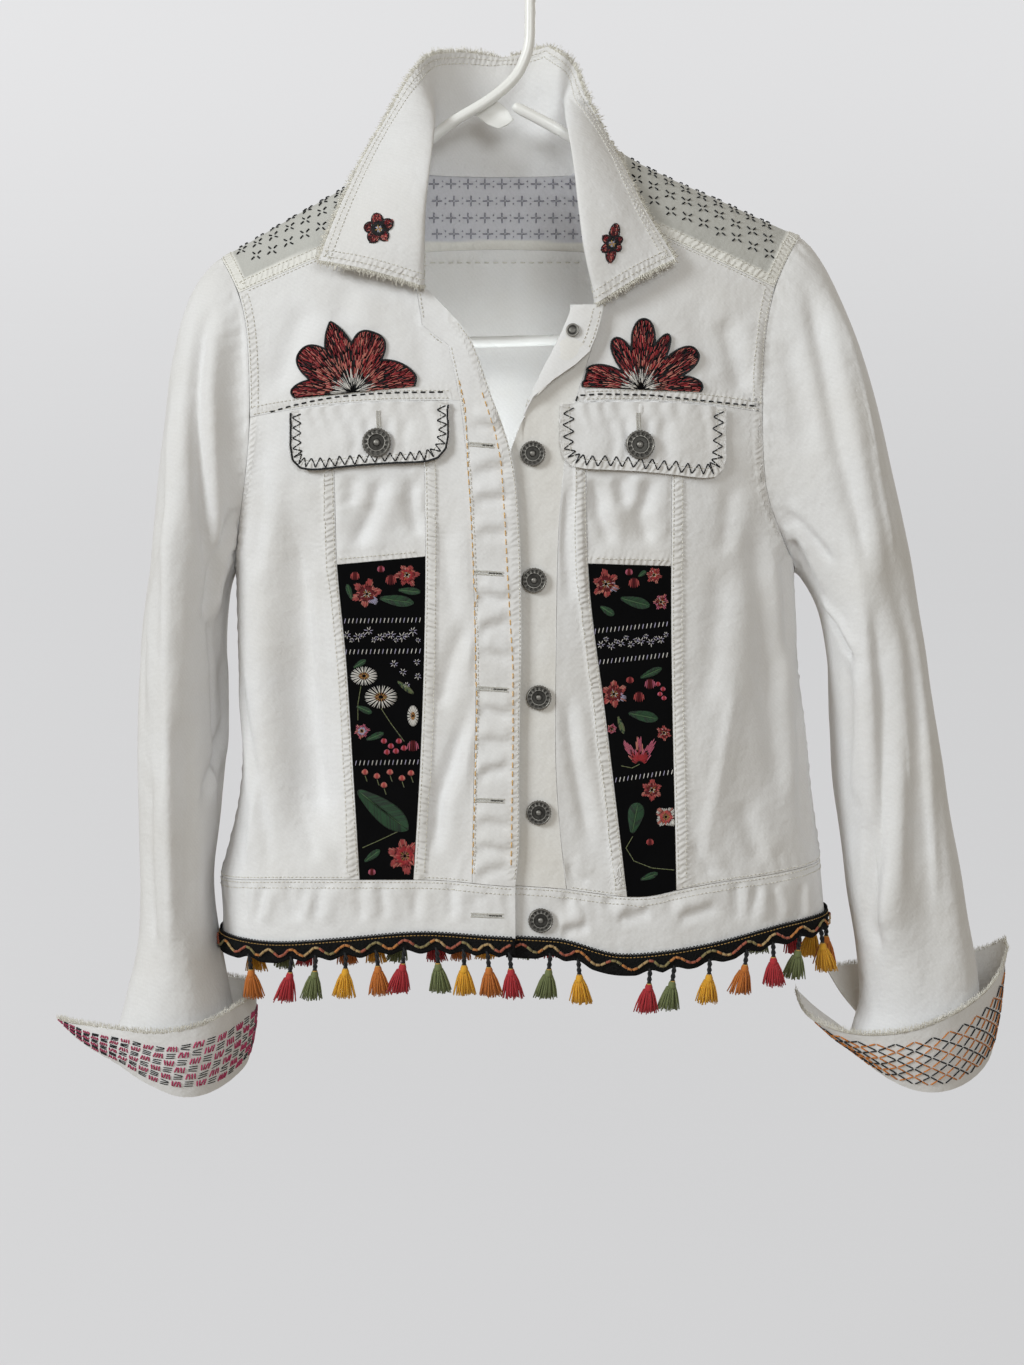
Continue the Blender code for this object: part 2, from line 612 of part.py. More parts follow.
def panel_points(face, low_x, high_x, low_z, high_z, columns, shares, thickness, lift=no_lift):
    """Outer and inner points of a cut panel. Shares give each row's height at the low and the high edge."""
    inset = SEAM_GAP / 2
    outer, inner = [], []
    for share_low, share_high in shares:
        outer_line, inner_line = [], []
        for u in np.linspace(0, 1, columns):
            v = share_low * (1 - u) + share_high * u
            z = low_z(0.0) * (1 - v) + high_z(0.0) * v
            x = 0.0
            for _ in range(14):
                low, high = turn_of(low_x(z), z), turn_of(high_x(z), z)
                x = x_of_turn(low * (1 - u) + high * u, z)
                z = (low_z(x) + inset) * (1 - v) + (high_z(x) - inset) * v
            point = on_body(x, z, face, lift(x, z))
            outer_line.append(point)
            inner_line.append(point - outward(x, z, face, lift) * thickness)
        outer.append(outer_line)
        inner.append(inner_line)
    return np.array(outer), np.array(inner)


def even(count):
    return [(v, v) for v in np.linspace(0, 1, count)]


def armhole_shares(side, face, low_z, high_z, below, turns):
    """Row shares of a panel's armhole edge: even below the underarm, then at the armhole's own points."""
    made = []
    if below:
        x = side * half_width[side](UNDERARM_Z)
        top = (UNDERARM_Z - low_z(x)) / (high_z(x) - low_z(x))
        made += list(np.linspace(0, top, below + 1)[:-1])
    for turn in turns:
        x, z, _ = armhole_place(side, turn)
        made.append((z - low_z(x)) / (high_z(x) - low_z(x)))
    return made


def front_turns(side):
    turns = armhole_turns(side)
    chest = YOKE_FRONT_ROWS + FRONT_YOKE_ROWS
    return {
        "over": turns[-YOKE_BACK_ROWS:] + turns[: YOKE_FRONT_ROWS + 1],
        "yoke": list(reversed(turns[YOKE_FRONT_ROWS : chest + 1])),
        "side": list(reversed(turns[chest : chest + ARMHOLE_ROWS + 1])),
        "back": turns[chest + ARMHOLE_ROWS : chest + ARMHOLE_ROWS + BACK_ARMHOLE_ROWS + 1],
    }


rows_at_waist = {}


def build_front(side, word):
    """One front: centre panel, pocket panel, floral insert, side panel and yoke."""
    gap = side * SEAM_GAP / 2
    lift = LIFT[side]

    def limits(inner, outer):
        """Two upright seams as low and high X, each moved half a gap into the panel."""
        near, far = (lambda z: inner(z) + gap), outer
        return (near, far) if side > 0 else (far, near)

    def before(seam):
        return lambda z: seam(z) - gap

    def side_seam(z):
        return side_limit(side, z)

    turns = front_turns(side)
    side_rows = armhole_shares(side, -1, front_waist, chest_seam, ROWS_BELOW, turns["side"])
    yoke_rows = armhole_shares(side, -1, chest_seam, shoulder_seam, 0, turns["yoke"])
    centre, inner, outer = placket_seam[side], inner_seam[side], outer_seam[side]
    panels = (
        ("front_centre", centre, before(inner), front_waist, chest_seam, 4, even(13), "white denim"),
        ("pocket_panel", inner, before(outer), insert_top[side], chest_seam, 5, even(6), "white denim"),
        ("floral_insert", inner, before(outer), front_waist, insert_top[side], 5, even(9), "black cloth"),
        ("front_side", outer, side_seam, front_waist, chest_seam, 8, [(v, v) for v in side_rows], "white denim"),
    )
    for name, near, far, low, high, columns, shares, finish in panels:
        low_x, high_x = limits(near, far)
        points = panel_points(-1, low_x, high_x, low, high, columns, shares, DENIM, lift)
        if low is front_waist:
            rows_at_waist[f"{name}_{word}"] = points[0][0]
        wall(f"{name}_{word}", *points, finish)

    neck = smooth_through([(z, x) for x, z, face in NECKLINE[side][:4]])
    neck_end = NECKLINE[side][0][1]

    def yoke_inner(z):
        return placket_seam[side](z) if z < neck_end else neck(z)

    low_x, high_x = limits(yoke_inner, side_seam)
    heights = list(PLACKET_ROWS[side]) + [(neck_end + NECKLINE[side][2][1]) / 2] * (side > 0)
    inner_rows = [0.0]
    for z in heights:
        x = yoke_inner(z)
        inner_rows.append((z - chest_seam(x)) / (shoulder_seam(x) - chest_seam(x)))
    inner_rows.append(1.0)
    shares = list(zip(inner_rows, yoke_rows)) if side > 0 else list(zip(yoke_rows, inner_rows))
    points = panel_points(-1, low_x, high_x, chest_seam, shoulder_seam, SHOULDER_COLUMNS, shares, DENIM, lift)
    wall(f"front_yoke_{word}", *points, "white denim")
    top = points[0][-1]
    return top if side > 0 else top[::-1]


def build_right_placket():
    """The buttonhole band of the right front, on top. It widens to a tab at the collar."""
    seam, edge = placket_seam[-1], front_edge[-1]
    top = PLACKET_ROWS[-1][-1]
    foot = front_waist(seam(-690.0))
    heights = list(np.linspace(foot, chest_seam(seam(-337.0)), 15)) + list(PLACKET_ROWS[-1])
    shares = [((z - foot) / (top - foot), (z - foot) / (top - foot)) for z in heights]
    points = panel_points(
        -1,
        lambda z: seam(z) + SEAM_GAP / 2,
        edge,
        front_waist,
        lambda x: top,
        4,
        shares,
        DOUBLE_DENIM,
        overlap_lift,
    )
    rows_at_waist["placket_right"] = points[0][0]
    wall("placket_right", *points, "white denim")


def build_left_placket():
    """The button band of the left front, under the other. Its top rolls outwards and shows its back."""
    seam, edge = placket_seam[1], front_edge[1]
    fold, free = smooth_through(LAPEL, 1), smooth_through(LAPEL, 2)
    lapel_end = LAPEL[-1][0]
    outer, inner = [], []
    heights = list(np.linspace(front_waist(20.0) + SEAM_GAP / 2, -345.0, 15))
    heights += [-334.0, -322.0, -311.0, -302.0, -292.0, -281.0, PLACKET_ROWS[1][-1]]
    for v, z in enumerate(heights):
        near = seam(z) - SEAM_GAP / 2
        outer_line, inner_line = [], []
        if z <= lapel_end:
            far = edge(z) + (fold(lapel_end) - edge(lapel_end)) * eased((z + 400) / 55)
            for u in np.linspace(0, 1, 6):
                x = near + (far - near) * u
                level = front_waist(x) + SEAM_GAP / 2 if v == 0 else z
                outer_line.append(on_body(x, level, -1))
                inner_line.append(outer_line[-1] - outward(x, level, -1) * BAND)
        else:
            turn, tip = fold(z), free(z)
            swell = eased((z - lapel_end) / 14)
            for u in (0.0, 0.5, 1.0):
                x = near + (turn + 3.0 - near) * u
                outer_line.append(on_body(x, z, -1))
                inner_line.append(outer_line[-1] - outward(x, z, -1) * BAND)
            up = LAPEL_RISE * swell
            reach = max(tip - turn, 0.6)
            crest = on_body(turn, z, -1, up * 0.5)
            outer_line.append(on_body(turn + 2.2 + 0.3 * swell, z, -1, up * 0.32))
            inner_line.append(crest + np.array((-1.0 * (1 - swell) - 1.2 * swell, BAND * (1 - swell), 0.0)))
            outer_line.append(on_body(turn + 3.0 + reach * 0.35, z, -1, up - BAND * swell))
            inner_line.append(on_body(turn + 2.2 + reach * 0.35 * swell, z, -1, up))
            outer_line.append(on_body(turn + 3.2 + reach, z, -1, up - BAND * swell + 0.6))
            inner_line.append(on_body(turn + 3.0 + reach, z, -1, up + 0.6))
        outer.append(outer_line)
        inner.append(inner_line)
    rows_at_waist["placket_left"] = np.array(outer[0])
    wall("placket_left", outer, inner, "white denim")


def build_back():
    right = armhole_shares(-1, 1, back_waist, back_yoke_seam, ROWS_BELOW, front_turns(-1)["back"])
    left = armhole_shares(1, 1, back_waist, back_yoke_seam, ROWS_BELOW, front_turns(1)["back"])
    points = panel_points(
        1,
        lambda z: side_limit(-1, z),
        lambda z: side_limit(1, z),
        back_waist,
        back_yoke_seam,
        BACK_COLUMNS,
        list(zip(right, left)),
        DENIM,
    )
    rows_at_waist["back_panel"] = points[0][0]
    wall("back_panel", *points, "white denim")


def armhole_x_at(side, tilt):
    """Distance of the armhole seam from the middle, where it crosses this tilt over the shoulder."""
    x = side * SHOULDER_X[side]
    for _ in range(30):
        x = side * armhole_x[side](over_shoulder(x, tilt)[2])
    return abs(x)


def build_back_yoke(shoulder_rows):
    """The yoke in one piece: across the back and over both shoulders to the front shoulder seams."""
    neck_shares = (0.51, 0.47, 0.43, 0.39, 0.35, 0.29, 0.22, 0.11, 0.0)
    halves = []
    for side in (-1, 1):
        over = []
        for turn in front_turns(side)["over"]:
            x, z, face = armhole_place(side, turn)
            over.append(tilt_of(x, z, 1 if math.pi < turn else -1))
        ends = [(point[0], tilt_of(point[0], point[2] + SEAM_GAP, -1)) for point in shoulder_rows[side][::-1]]
        ends[-1] = (NECKLINE[side][2][0], ends[-1][1])
        ends += [(x, neck_tilt(x, z, face)) for x, z, face in NECKLINE[side][3:]]
        shares = list(np.linspace(1.0, 0.55, SHOULDER_COLUMNS)) + list(neck_shares)
        half = []
        for number, ((x_end, tilt_end), share_low) in enumerate(zip(ends, shares)):
            x_low = side * share_low * abs(armhole_place(side, front_turns(side)["over"][0])[0])
            tilt_low = tilt_of(x_low, back_yoke_seam(x_low) + SEAM_GAP / 2, 1)
            share_end = min(abs(x_end) / armhole_x_at(side, tilt_end), 1.0)
            if number == 0:
                share_end = 1.0
            line = []
            for r in range(OVER_ROWS + 1):
                turning = 0.0 if tilt_end < 0 else tilt_end + 0.04
                if r <= YOKE_BACK_ROWS:
                    tilt = turning + (tilt_low - turning) * over[r] / over[0]
                else:
                    tilt = turning + (tilt_end - turning) * over[r] / over[-1]
                share = share_low + (share_end - share_low) * r / OVER_ROWS
                x = side * share * (armhole_x_at(side, tilt) - SEAM_GAP / 2)
                line.append((x, tilt))
            half.append(line)
        halves.append(half)
    lines = halves[0] + list(reversed(halves[1][:-1]))
    outer = [[over_shoulder(*place) for place in line] for line in lines]
    inner = [
        [over_shoulder(*place) - over_shoulder_outward(*place) * DENIM for place in line] for line in lines
    ]
    outer, inner = np.array(outer).transpose(1, 0, 2, ), np.array(inner).transpose(1, 0, 2)
    wall("back_yoke", outer, inner, "grey cotton")


def clear_of_yoke(point, clearance):
    """Moves a point of the collar outwards until it stands clear of the yoke under it."""
    places = [over_shoulder(point[0], tilt) for tilt in np.linspace(-0.98, 0.9, 95)]
    gaps = [np.linalg.norm((point - place)[1:]) for place in places]
    nearest = int(np.argmin(gaps))
    tilt = np.linspace(-0.98, 0.9, 95)[nearest]
    normal = over_shoulder_outward(point[0], tilt)
    height = float(np.dot(point - places[nearest], normal))
    return point + normal * max(clearance - height, 0.0)


def build_collar():
    """The collar in one piece, with its stand: rows run from the neckline to the outer edge."""
    rows = 9
    halves = []
    for side in (-1, 1):
        necks = []
        for x, z, face in NECKLINE[side]:
            tilt = neck_tilt(x, z, face)
            necks.append(over_shoulder(x, tilt) + over_shoulder_outward(x, tilt) * COLLAR_SEAT)
        rolls = [np.array(row[:3], float) for row in COLLAR[side]]
        edges = [np.array(row[3:], float) for row in COLLAR[side]]
        half = []
        for neck, row in zip(necks, COLLAR_ROWS):
            roll, edge = catmull(rolls, row / (len(rolls) - 1)), catmull(edges, row / (len(edges) - 1))
            stand = (neck + roll) / 2 + np.array((0.0, 0.0, 1.5))
            fall = (roll + edge) / 2 + np.array((0.0, -3.0, 2.0))
            section = [neck, stand, roll, fall, edge]
            line = [catmull(section, share) for share in np.linspace(0, 1, rows)]
            for r in range(3, rows):
                line[r] = clear_of_yoke(line[r], COLLAR_CLEAR[min(r - 3, len(COLLAR_CLEAR) - 1)])
            half.append(line)
        halves.append(half)
    lines = halves[0] + list(reversed(halves[1][:-1]))
    grid = np.array(lines).transpose(1, 0, 2)
    wall("collar", grid, grid + grid_normals(grid) * DOUBLE_DENIM, "white denim")


def ring_cos(turn):
    return math.copysign(abs(math.cos(turn)) ** (2 / SLEEVE_OVAL), math.cos(turn))


def ring_sin(turn):
    return math.copysign(abs(math.sin(turn)) ** (2 / SLEEVE_OVAL), math.sin(turn))


def armhole_point(side, turn):
    """The sleeve's own point on the armhole seam, one gap away from the body's, and the body's normal there."""
    x, z, face = armhole_place(side, turn)
    closeness = 1 - min((z - UNDERARM_Z) / 20, 1.0)
    point = over_shoulder(x, tilt_of(x, z, face)) if z > LEAN_START[face] else on_body(x, z, face)
    if z <= UNDERARM_Z + 0.5:
        point[1] = 0.0
    normal = outward(x, min(z, ridge_height(x) - 6.0), face)
    return point + np.array((side * SEAM_GAP / 2 * (1 + closeness), 0.0, 0.0)), normal


def sleeve_relief(side, ring, turn):
    height = 0.0
    degrees = math.degrees(turn)
    for top, turn_top, low, turn_low, fold, width in SLEEVE_FOLDS[side]:
        t = (ring - top) / (low - top)
        fade = eased((t + 0.05) / 0.3) * eased((1.08 - t) / 0.3)
        away = (degrees - (turn_top + (turn_low - turn_top) * t) + 180) % 360 - 180
        height += fold * fade * math.exp(-((away / width) ** 2))
    return height


def loop_point(loop, centre, aim):
    """Where the ray from the centre crosses the cuff's fold, seen from above, moved just inside the cuff."""
    best, inwards = None, None
    for i in range(len(loop)):
        a, b = loop[i], loop[(i + 1) % len(loop)]
        edge, start = (b - a)[:2], (a - centre)[:2]
        cross = aim[0] * edge[1] - aim[1] * edge[0]
        if abs(cross) < 1e-9:
            continue
        away = (start[0] * edge[1] - start[1] * edge[0]) / cross
        along = (start[0] * aim[1] - start[1] * aim[0]) / cross
        if away > 0 and -1e-9 <= along <= 1 + 1e-9:
            best = a + (b - a) * along
            inwards = unit(np.array((-edge[1], edge[0], 0.0)))
            inwards = inwards * math.copysign(1.0, np.dot(inwards[:2], (centre - best)[:2]))
    return best + inwards * CUFF_INSET + np.array((0, 0, CUFF_DEPTH))


def build_sleeve(side, word):
    """One sleeve: rings swing from the upright armhole to level, then down into the cuff."""
    turns = armhole_turns(side)
    starts = [armhole_point(side, turn) for turn in turns]
    rings = [[point for point, normal in starts]]
    for number, row in enumerate(SLEEVE[side], start=1):
        blend, x_out, z_out, x_in, z_in, front, back, forward = row
        outer, inner = np.array((x_out, -forward, z_out), float), np.array((x_in, -forward, z_in), float)
        middle, reach = (outer + inner) / 2, (outer - inner) / 2
        ring = []
        for turn, (start, normal) in zip(turns, starts):
            bulge = front if math.sin(turn) >= 0 else back
            out = reach * ring_cos(turn) + np.array((0.0, -bulge * ring_sin(turn), 0.0))
            out = out * (1 + sleeve_relief(side, number, turn) / np.linalg.norm(out))
            ring.append(start * (1 - blend) + (middle + out) * blend)
        rings.append(ring)
    folds = [np.array(row[:3], float) for row in CUFF[side]]
    loop = [catmull(folds, t) for t in np.linspace(0, 1, CUFF_COLUMNS)]
    centre = sum(loop) / len(loop)
    hem = [loop_point(loop, centre, np.array((side * math.cos(turn), -math.sin(turn)))) for turn in turns]
    last = np.array(rings[-1])
    rings.append(list(last * 0.45 + np.array(hem) * 0.55 + np.array((0, 0, 4.0))))
    rings.append(hem)
    outer = np.array(rings)
    normals = grid_normals(outer, True) * side
    for i, (turn, (point, normal)) in enumerate(zip(turns, starts)):
        share = eased((math.cos(turn) + 0.75) / 0.5)
        normals[0, i] = unit(normals[0, i] * (1 - share) + normal * share)
    wall(f"sleeve_{word}", outer, outer - normals * DENIM, "white denim", round_rows=True)


def build_cuff(side, word):
    """One cuff, turned up: it flares from its fold to its raw edge and stands open at its slit."""
    folds = [np.array(row[:3], float) for row in CUFF[side]]
    edges = [np.array(row[3:], float) for row in CUFF[side]]
    centre = sum(folds) / len(folds)
    grid = []
    for r in np.linspace(0, 1, CUFF_ROWS):
        line = []
        for t in np.linspace(0, 1, CUFF_COLUMNS):
            low, high = catmull(folds, t), catmull(edges, t)
            point = low + (high - low) * r
            belly = 3.0 * math.sin(math.pi * r) ** 2
            line.append(point + unit((point - centre) * np.array((1, 1, 0))) * belly)
        grid.append(line)
    grid = np.array(grid)
    wall(f"cuff_{word}", grid, grid - grid_normals(grid) * DOUBLE_DENIM, "white denim")


def waist_stations():
    """Points along the waist seam, from the right front edge round the back to the left front edge."""
    order = (
        ("placket_right", -1), ("front_centre_right", -1), ("floral_insert_right", -1), ("front_side_right", -1),
        ("back_panel", 1), ("front_side_left", -1), ("floral_insert_left", -1), ("front_centre_left", -1),
        ("placket_left", 1),
    )
    made = []
    for name, step in order:
        row = list(rows_at_waist[name])[::step]
        face = 1 if name == "back_panel" else -1
        side = -1 if name.endswith("right") else 1
        row = [(point, face, side) for point in row]
        if made and np.linalg.norm(made[-1][0] - row[0][0]) < 1.5:
            joined = (made[-1][0] + row[0][0]) / 2
            made[-1] = (joined, made[-1][1], made[-1][2])
            row = row[1:]
        made += row
    return made


def build_waistband():
    """The waistband, one strip round the body, open at the front. Returns its outer grid, hem row first."""
    outer, inner = [], []
    stations = waist_stations()
    for level in WAISTBAND_LEVELS:
        outer_line, inner_line = [], []
        for point, face, side in stations:
            turn = turn_of(point[0], point[2])
            lift = overlap_lift if (face < 0 and side < 0) else no_lift
            x, z = point[0], point[2]
            for _ in range(10):
                waist = point[2] - SEAM_GAP * 1.5
                z = level_seam(front_hem, x, face) * (1 - level) + waist * level
                x = x_of_turn(turn, z)
            place = on_body(x, z, face, lift(x, z))
            outer_line.append(place)
            inner_line.append(place - outward(x, z, face, lift) * DOUBLE_DENIM)
        outer.append(outer_line)
        inner.append(inner_line)
    wall("waistband", outer, inner, "white denim")
    return np.array(outer)


def level_normals(line):
    """Level outward steps of a row of points, right front to left front, that move every span by one."""
    spans = np.diff(line, axis=0)
    across = np.stack([-spans[:, 1], spans[:, 0], np.zeros(len(spans))], axis=1)
    across = across / np.linalg.norm(across, axis=1, keepdims=True)
    made = [across[0]]
    for before, after in zip(across, across[1:]):
        made.append((before + after) / (1 + np.dot(before, after)))
    made.append(across[-1])
    return np.array(made)


def clear_of_creases(place, creases, clearance):
    """Moves a tassel's place along the hem until every crease of the waistband is this far from it."""
    for _ in range(8):
        nearest = creases[np.argmin(np.abs(creases - place))]
        if abs(place - nearest) >= clearance - 1e-6:
            break
        place = nearest + math.copysign(clearance, place - nearest)
    return place


def build_braid(band):
    """The braid and its tassels: a ribbon on the waistband whose lower edge grows a tassel at each place."""
    share = BRAID_RISE / np.linalg.norm(band[1] - band[0], axis=1)[:, None]
    low_line, top_line = band[0], band[0] + (band[1] - band[0]) * share
    low_step, top_step = level_normals(low_line), level_normals(top_line)
    steps = np.linalg.norm(np.diff(low_line, axis=0), axis=1)
    along = np.concatenate([[0.0], np.cumsum(steps)])
    length = along[-1]
    near, far = SEAM_GAP + 0.2, SEAM_GAP + 0.2 + BRAID_THICK
    lines = {
        "back_low": low_line + low_step * near,
        "front_low": low_line + low_step * far,
        "back_top": top_line + top_step * near,
        "front_top": top_line + top_step * far,
    }

    def at(name, distance):
        line = lines[name]
        return np.array([np.interp(distance, along, line[:, axis]) for axis in range(3)])

    places = list(RIGHT_TASSELS) + [length - gap for gap in LEFT_TASSELS]
    start, stop = SIDE_PRESSED[1], length - max(LEFT_TASSELS)
    count = int(round((stop - start) / TASSEL_PITCH))
    places += [start + (stop - start) * i / count for i in range(count)]
    half = TASSEL_WIDTH / 2
    places = sorted(clear_of_creases(place, along, half + 1.3) for place in places)
    stations = []
    for place in places:
        stations += [(place - half, "start"), (place, "middle"), (place + half, "stop")]
    for distance in along:
        if min(abs(distance - place) for place in places) > half + 0.6:
            stations.append((distance, "plain"))
    for before, after in zip(places, places[1:]):
        middle = (before + after) / 2
        if min(abs(middle - distance) for distance, _ in stations) > 3.5:
            stations.append((middle, "plain"))
    stations.sort()
    points, faces = [], []

    def add(point):
        points.append(point)
        return len(points) - 1

    def scallop(distance):
        away = min(abs(distance - place) for place in places)
        return np.array((0, 0, -BRAID_FALL + 1.6 * math.cos(math.pi * min(away / (TASSEL_PITCH / 2), 1.0))))

    front_top, front_low, back_top, back_low = [], [], [], []
    for distance, kind in stations:
        front_top.append(add(at("front_top", distance)))
        front_low.append(add(at("front_low", distance) + scallop(distance)))
        middle = kind == "middle"
        back_top.append(None if middle else add(at("back_top", distance)))
        back_low.append(None if middle else add(at("back_low", distance) + scallop(distance)))
    for i in range(len(stations) - 1):
        j = i + 1
        faces.append((front_top[i], front_low[i], front_low[j], front_top[j]))
        if stations[i][1] == "middle":
            continue
        k = j + 1 if stations[j][1] == "middle" else j
        faces.append((back_top[k], back_low[k], back_low[i], back_top[i]))
        rim = [front_top[i], front_top[j]] + ([front_top[k]] if k != j else [])
        faces.append(tuple(rim + [back_top[k], back_top[i]]))
        if stations[i][1] == "start":
            root = [front_low[k], front_low[j], front_low[i], back_low[i], back_low[k]]
            grow_tassel(points, faces, root, stations[j][0])
        else:
            faces.append((front_low[j], front_low[i], back_low[i], back_low[j]))
    faces.append((front_top[0], back_top[0], back_low[0], front_low[0]))
    faces.append((front_low[-1], back_low[-1], back_top[-1], front_top[-1]))
    add_object("tassel_braid", points, faces, "black braid")
    return places


def grow_tassel(points, faces, root, distance):
    """Grows one tassel from the five-cornered root: cord, head, and strands that part from the head."""
    centre = sum(points[i] for i in root) / len(root)
    swing = np.array((1.4 * math.sin(distance * 1.7), 0.6 * math.sin(distance * 0.9 + 1.0), 0.0))
    count = len(root)
    phase = [math.atan2(points[i][1] - centre[1], points[i][0] - centre[0]) for i in root]
    step = sum((phase[(i + 1) % count] - phase[i] + math.pi) % (2 * math.pi) - math.pi for i in range(count))
    turn = math.copysign(2 * math.pi / count, step)

    def ring(middle, radius):
        made = []
        for i in range(count):
            angle = phase[0] + turn * i
            points.append(middle + np.array((radius * math.cos(angle), radius * math.sin(angle), 0.0)))
            made.append(len(points) - 1)
        return made

    def skin(upper, lower):
        for i in range(count):
            j = (i + 1) % count
            faces.append((upper[i], upper[j], lower[j], lower[i]))

    neck_at = centre + np.array((0, 0, -CORD_LENGTH)) + swing * 0.5
    head_at = neck_at + np.array((0, 0, -HEAD_LENGTH)) + swing * 0.3
    neck, head = ring(neck_at, 1.5), ring(head_at, HEAD_RADIUS)
    skin(root, neck)
    skin(neck, head)
    points.append(head_at.copy())
    heart = len(points) - 1
    for i in range(count):
        j = (i + 1) % count
        corners = (head[i], head[j], heart)
        middle = sum(points[c] for c in corners) / 3
        away = unit(middle - head_at)
        tip = head_at + away * SKIRT_SPREAD + np.array((0, 0, -SKIRT_LENGTH + 1.5 * math.sin(distance + i)))
        tip = tip + swing
        tips = []
        for c in corners:
            points.append(tip + (points[c] - middle) * STRAND_TIP)
            tips.append(len(points) - 1)
        for a in range(3):
            b = (a + 1) % 3
            faces.append((corners[a], corners[b], tips[b], tips[a]))
        faces.append(tuple(tips))


def build_flap(side, word, y_at):
    """One pocket flap, sewn in the chest seam and lying on the front."""
    low_x, high_x, drop_low, drop_high, radius = FLAP[side]
    columns, rows = 13, 5
    shares = 0.5 - 0.5 * np.cos(np.linspace(0, math.pi, columns))
    outer, inner = [], []
    for v in np.linspace(0, 1, rows):
        outer_line, inner_line = [], []
        for share in shares:
            x = low_x + (high_x - low_x) * share
            inset = min(x - low_x, high_x - x)
            corner = radius - math.sqrt(max(radius**2 - max(radius - inset, 0.0) ** 2, 0.0))
            drop = drop_low + (drop_high - drop_low) * share - corner
            z = chest_seam(x) - 1.2 - drop * (1 - v)
            near = y_at(x, z) - SEAM_GAP - 0.25 - FLAP_LIFT * math.sin(math.pi / 2 * (1 - v)) ** 2
            inner_line.append(np.array((x, near, z)))
            outer_line.append(np.array((x, near - DENIM, z)))
        outer.append(outer_line)
        inner.append(inner_line)
    wall(f"pocket_flap_{word}", outer, inner, "white denim")


def build_half_flower(side, word, y_at):
    """A big half flower, sewn to the front yoke with its heart just over the chest seam."""
    middle_x, radius, petals = HALF_FLOWER[side]
    base = chest_seam(middle_x) + 7.0
    spokes = []
    for degrees in np.linspace(0, 180, 25):
        reach = 0.60
        for at, share, width in petals:
            reach = max(reach, share * math.cos(min(abs(degrees - at) / width, 1.6) * math.pi / 3.4) ** 0.7)
        spokes.append((math.radians(degrees), radius * reach))
    layers = []
    for height in (SEAM_GAP + 0.2, SEAM_GAP + 0.2 + FLOWER_THICK):
        layer = []
        for ring in (0.0, 0.4, 0.7, 1.0):
            for angle, reach in spokes if ring else [(0.0, 0.0)]:
                x = middle_x + ring * reach * math.cos(angle)
                z = base + ring * reach * math.sin(angle)
                near = min(y_at(x + dx, max(z + dz, base - 5.5)) for dx, dz in PROBES)
                layer.append(np.array((x, near - height, z)))
        layers.append(layer)
    count, offset = len(spokes), len(layers[0])
    faces = []
    for i in range(count - 1):
        j = i + 1
        cells = [(0, 1 + i, 1 + j)]
        cells += [(a + i, a + count + i, a + count + j, a + j) for a in (1, 1 + count)]
        faces += cells + [tuple(p + offset for p in reversed(cell)) for cell in cells]
    rim = [0, 1, 1 + count] + [1 + 2 * count + i for i in range(count)] + [2 * count, count]
    for a, b in zip(rim, rim[1:] + rim[:1]):
        faces.append((b, a, a + offset, b + offset))
    add_object(f"flower_{word}", layers[0] + layers[1], faces, "red embroidery")


def turned_button(name, place, outwards, profile, sides):
    """A turned solid that stands on the cloth: profile is radius and height from its foot."""
    outwards = unit(outwards)
    across = unit(np.cross(outwards, np.array((0.0, 0.0, 1.0))))
    upright = np.cross(across, outwards)
    points, faces = [], []
    for radius, height in profile:
        for i in range(sides):
            angle = 2 * math.pi * i / sides
            spread = across * math.cos(angle) + upright * math.sin(angle)
            points.append(place + outwards * height + spread * radius)
    rings = len(profile)
    for r in range(rings - 1):
        for i in range(sides):
            j = (i + 1) % sides
            a, b = r * sides, (r + 1) * sides
            faces.append((a + i, a + j, b + j, b + i))
    faces.append(tuple(reversed(range(sides))))
    faces.append(tuple(range((rings - 1) * sides, rings * sides)))
    add_object(name, points, faces, "dark metal")


def facing(y_at, x, z):
    """The cloth's point and normal at x and z, measured on the piece itself."""
    step = 4.0
    across = np.array((2 * step, y_at(x + step, z) - y_at(x - step, z), 0.0))
    along = np.array((0.0, y_at(x, z + step) - y_at(x, z - step), 2 * step))
    return np.array((x, y_at(x, z), z)), unit(np.cross(across, along))


def build_buttons():
    on_band, on_waistband = surface_of(["placket_left"]), surface_of(["waistband"])
    for number, (x, z) in enumerate(PLACKET_BUTTONS, start=1):
        place, normal = facing(on_band if number < len(PLACKET_BUTTONS) else on_waistband, x, z)
        turned_button(f"button_{number}", place + normal * 0.35, normal, BUTTON, BUTTON_SIDES)
    for side, word in ((-1, "right"), (1, "left")):
        place, normal = facing(surface_of([f"pocket_flap_{word}"]), *FLAP_BUTTONS[side])
        turned_button(f"flap_button_{word}", place + normal * 0.35, normal, FLAP_BUTTON, BUTTON_SIDES)
    place, normal = facing(on_band, *LAPEL_RIVET)
    turned_button("lapel_rivet", place + normal * 0.35, normal, RIVET, 8)


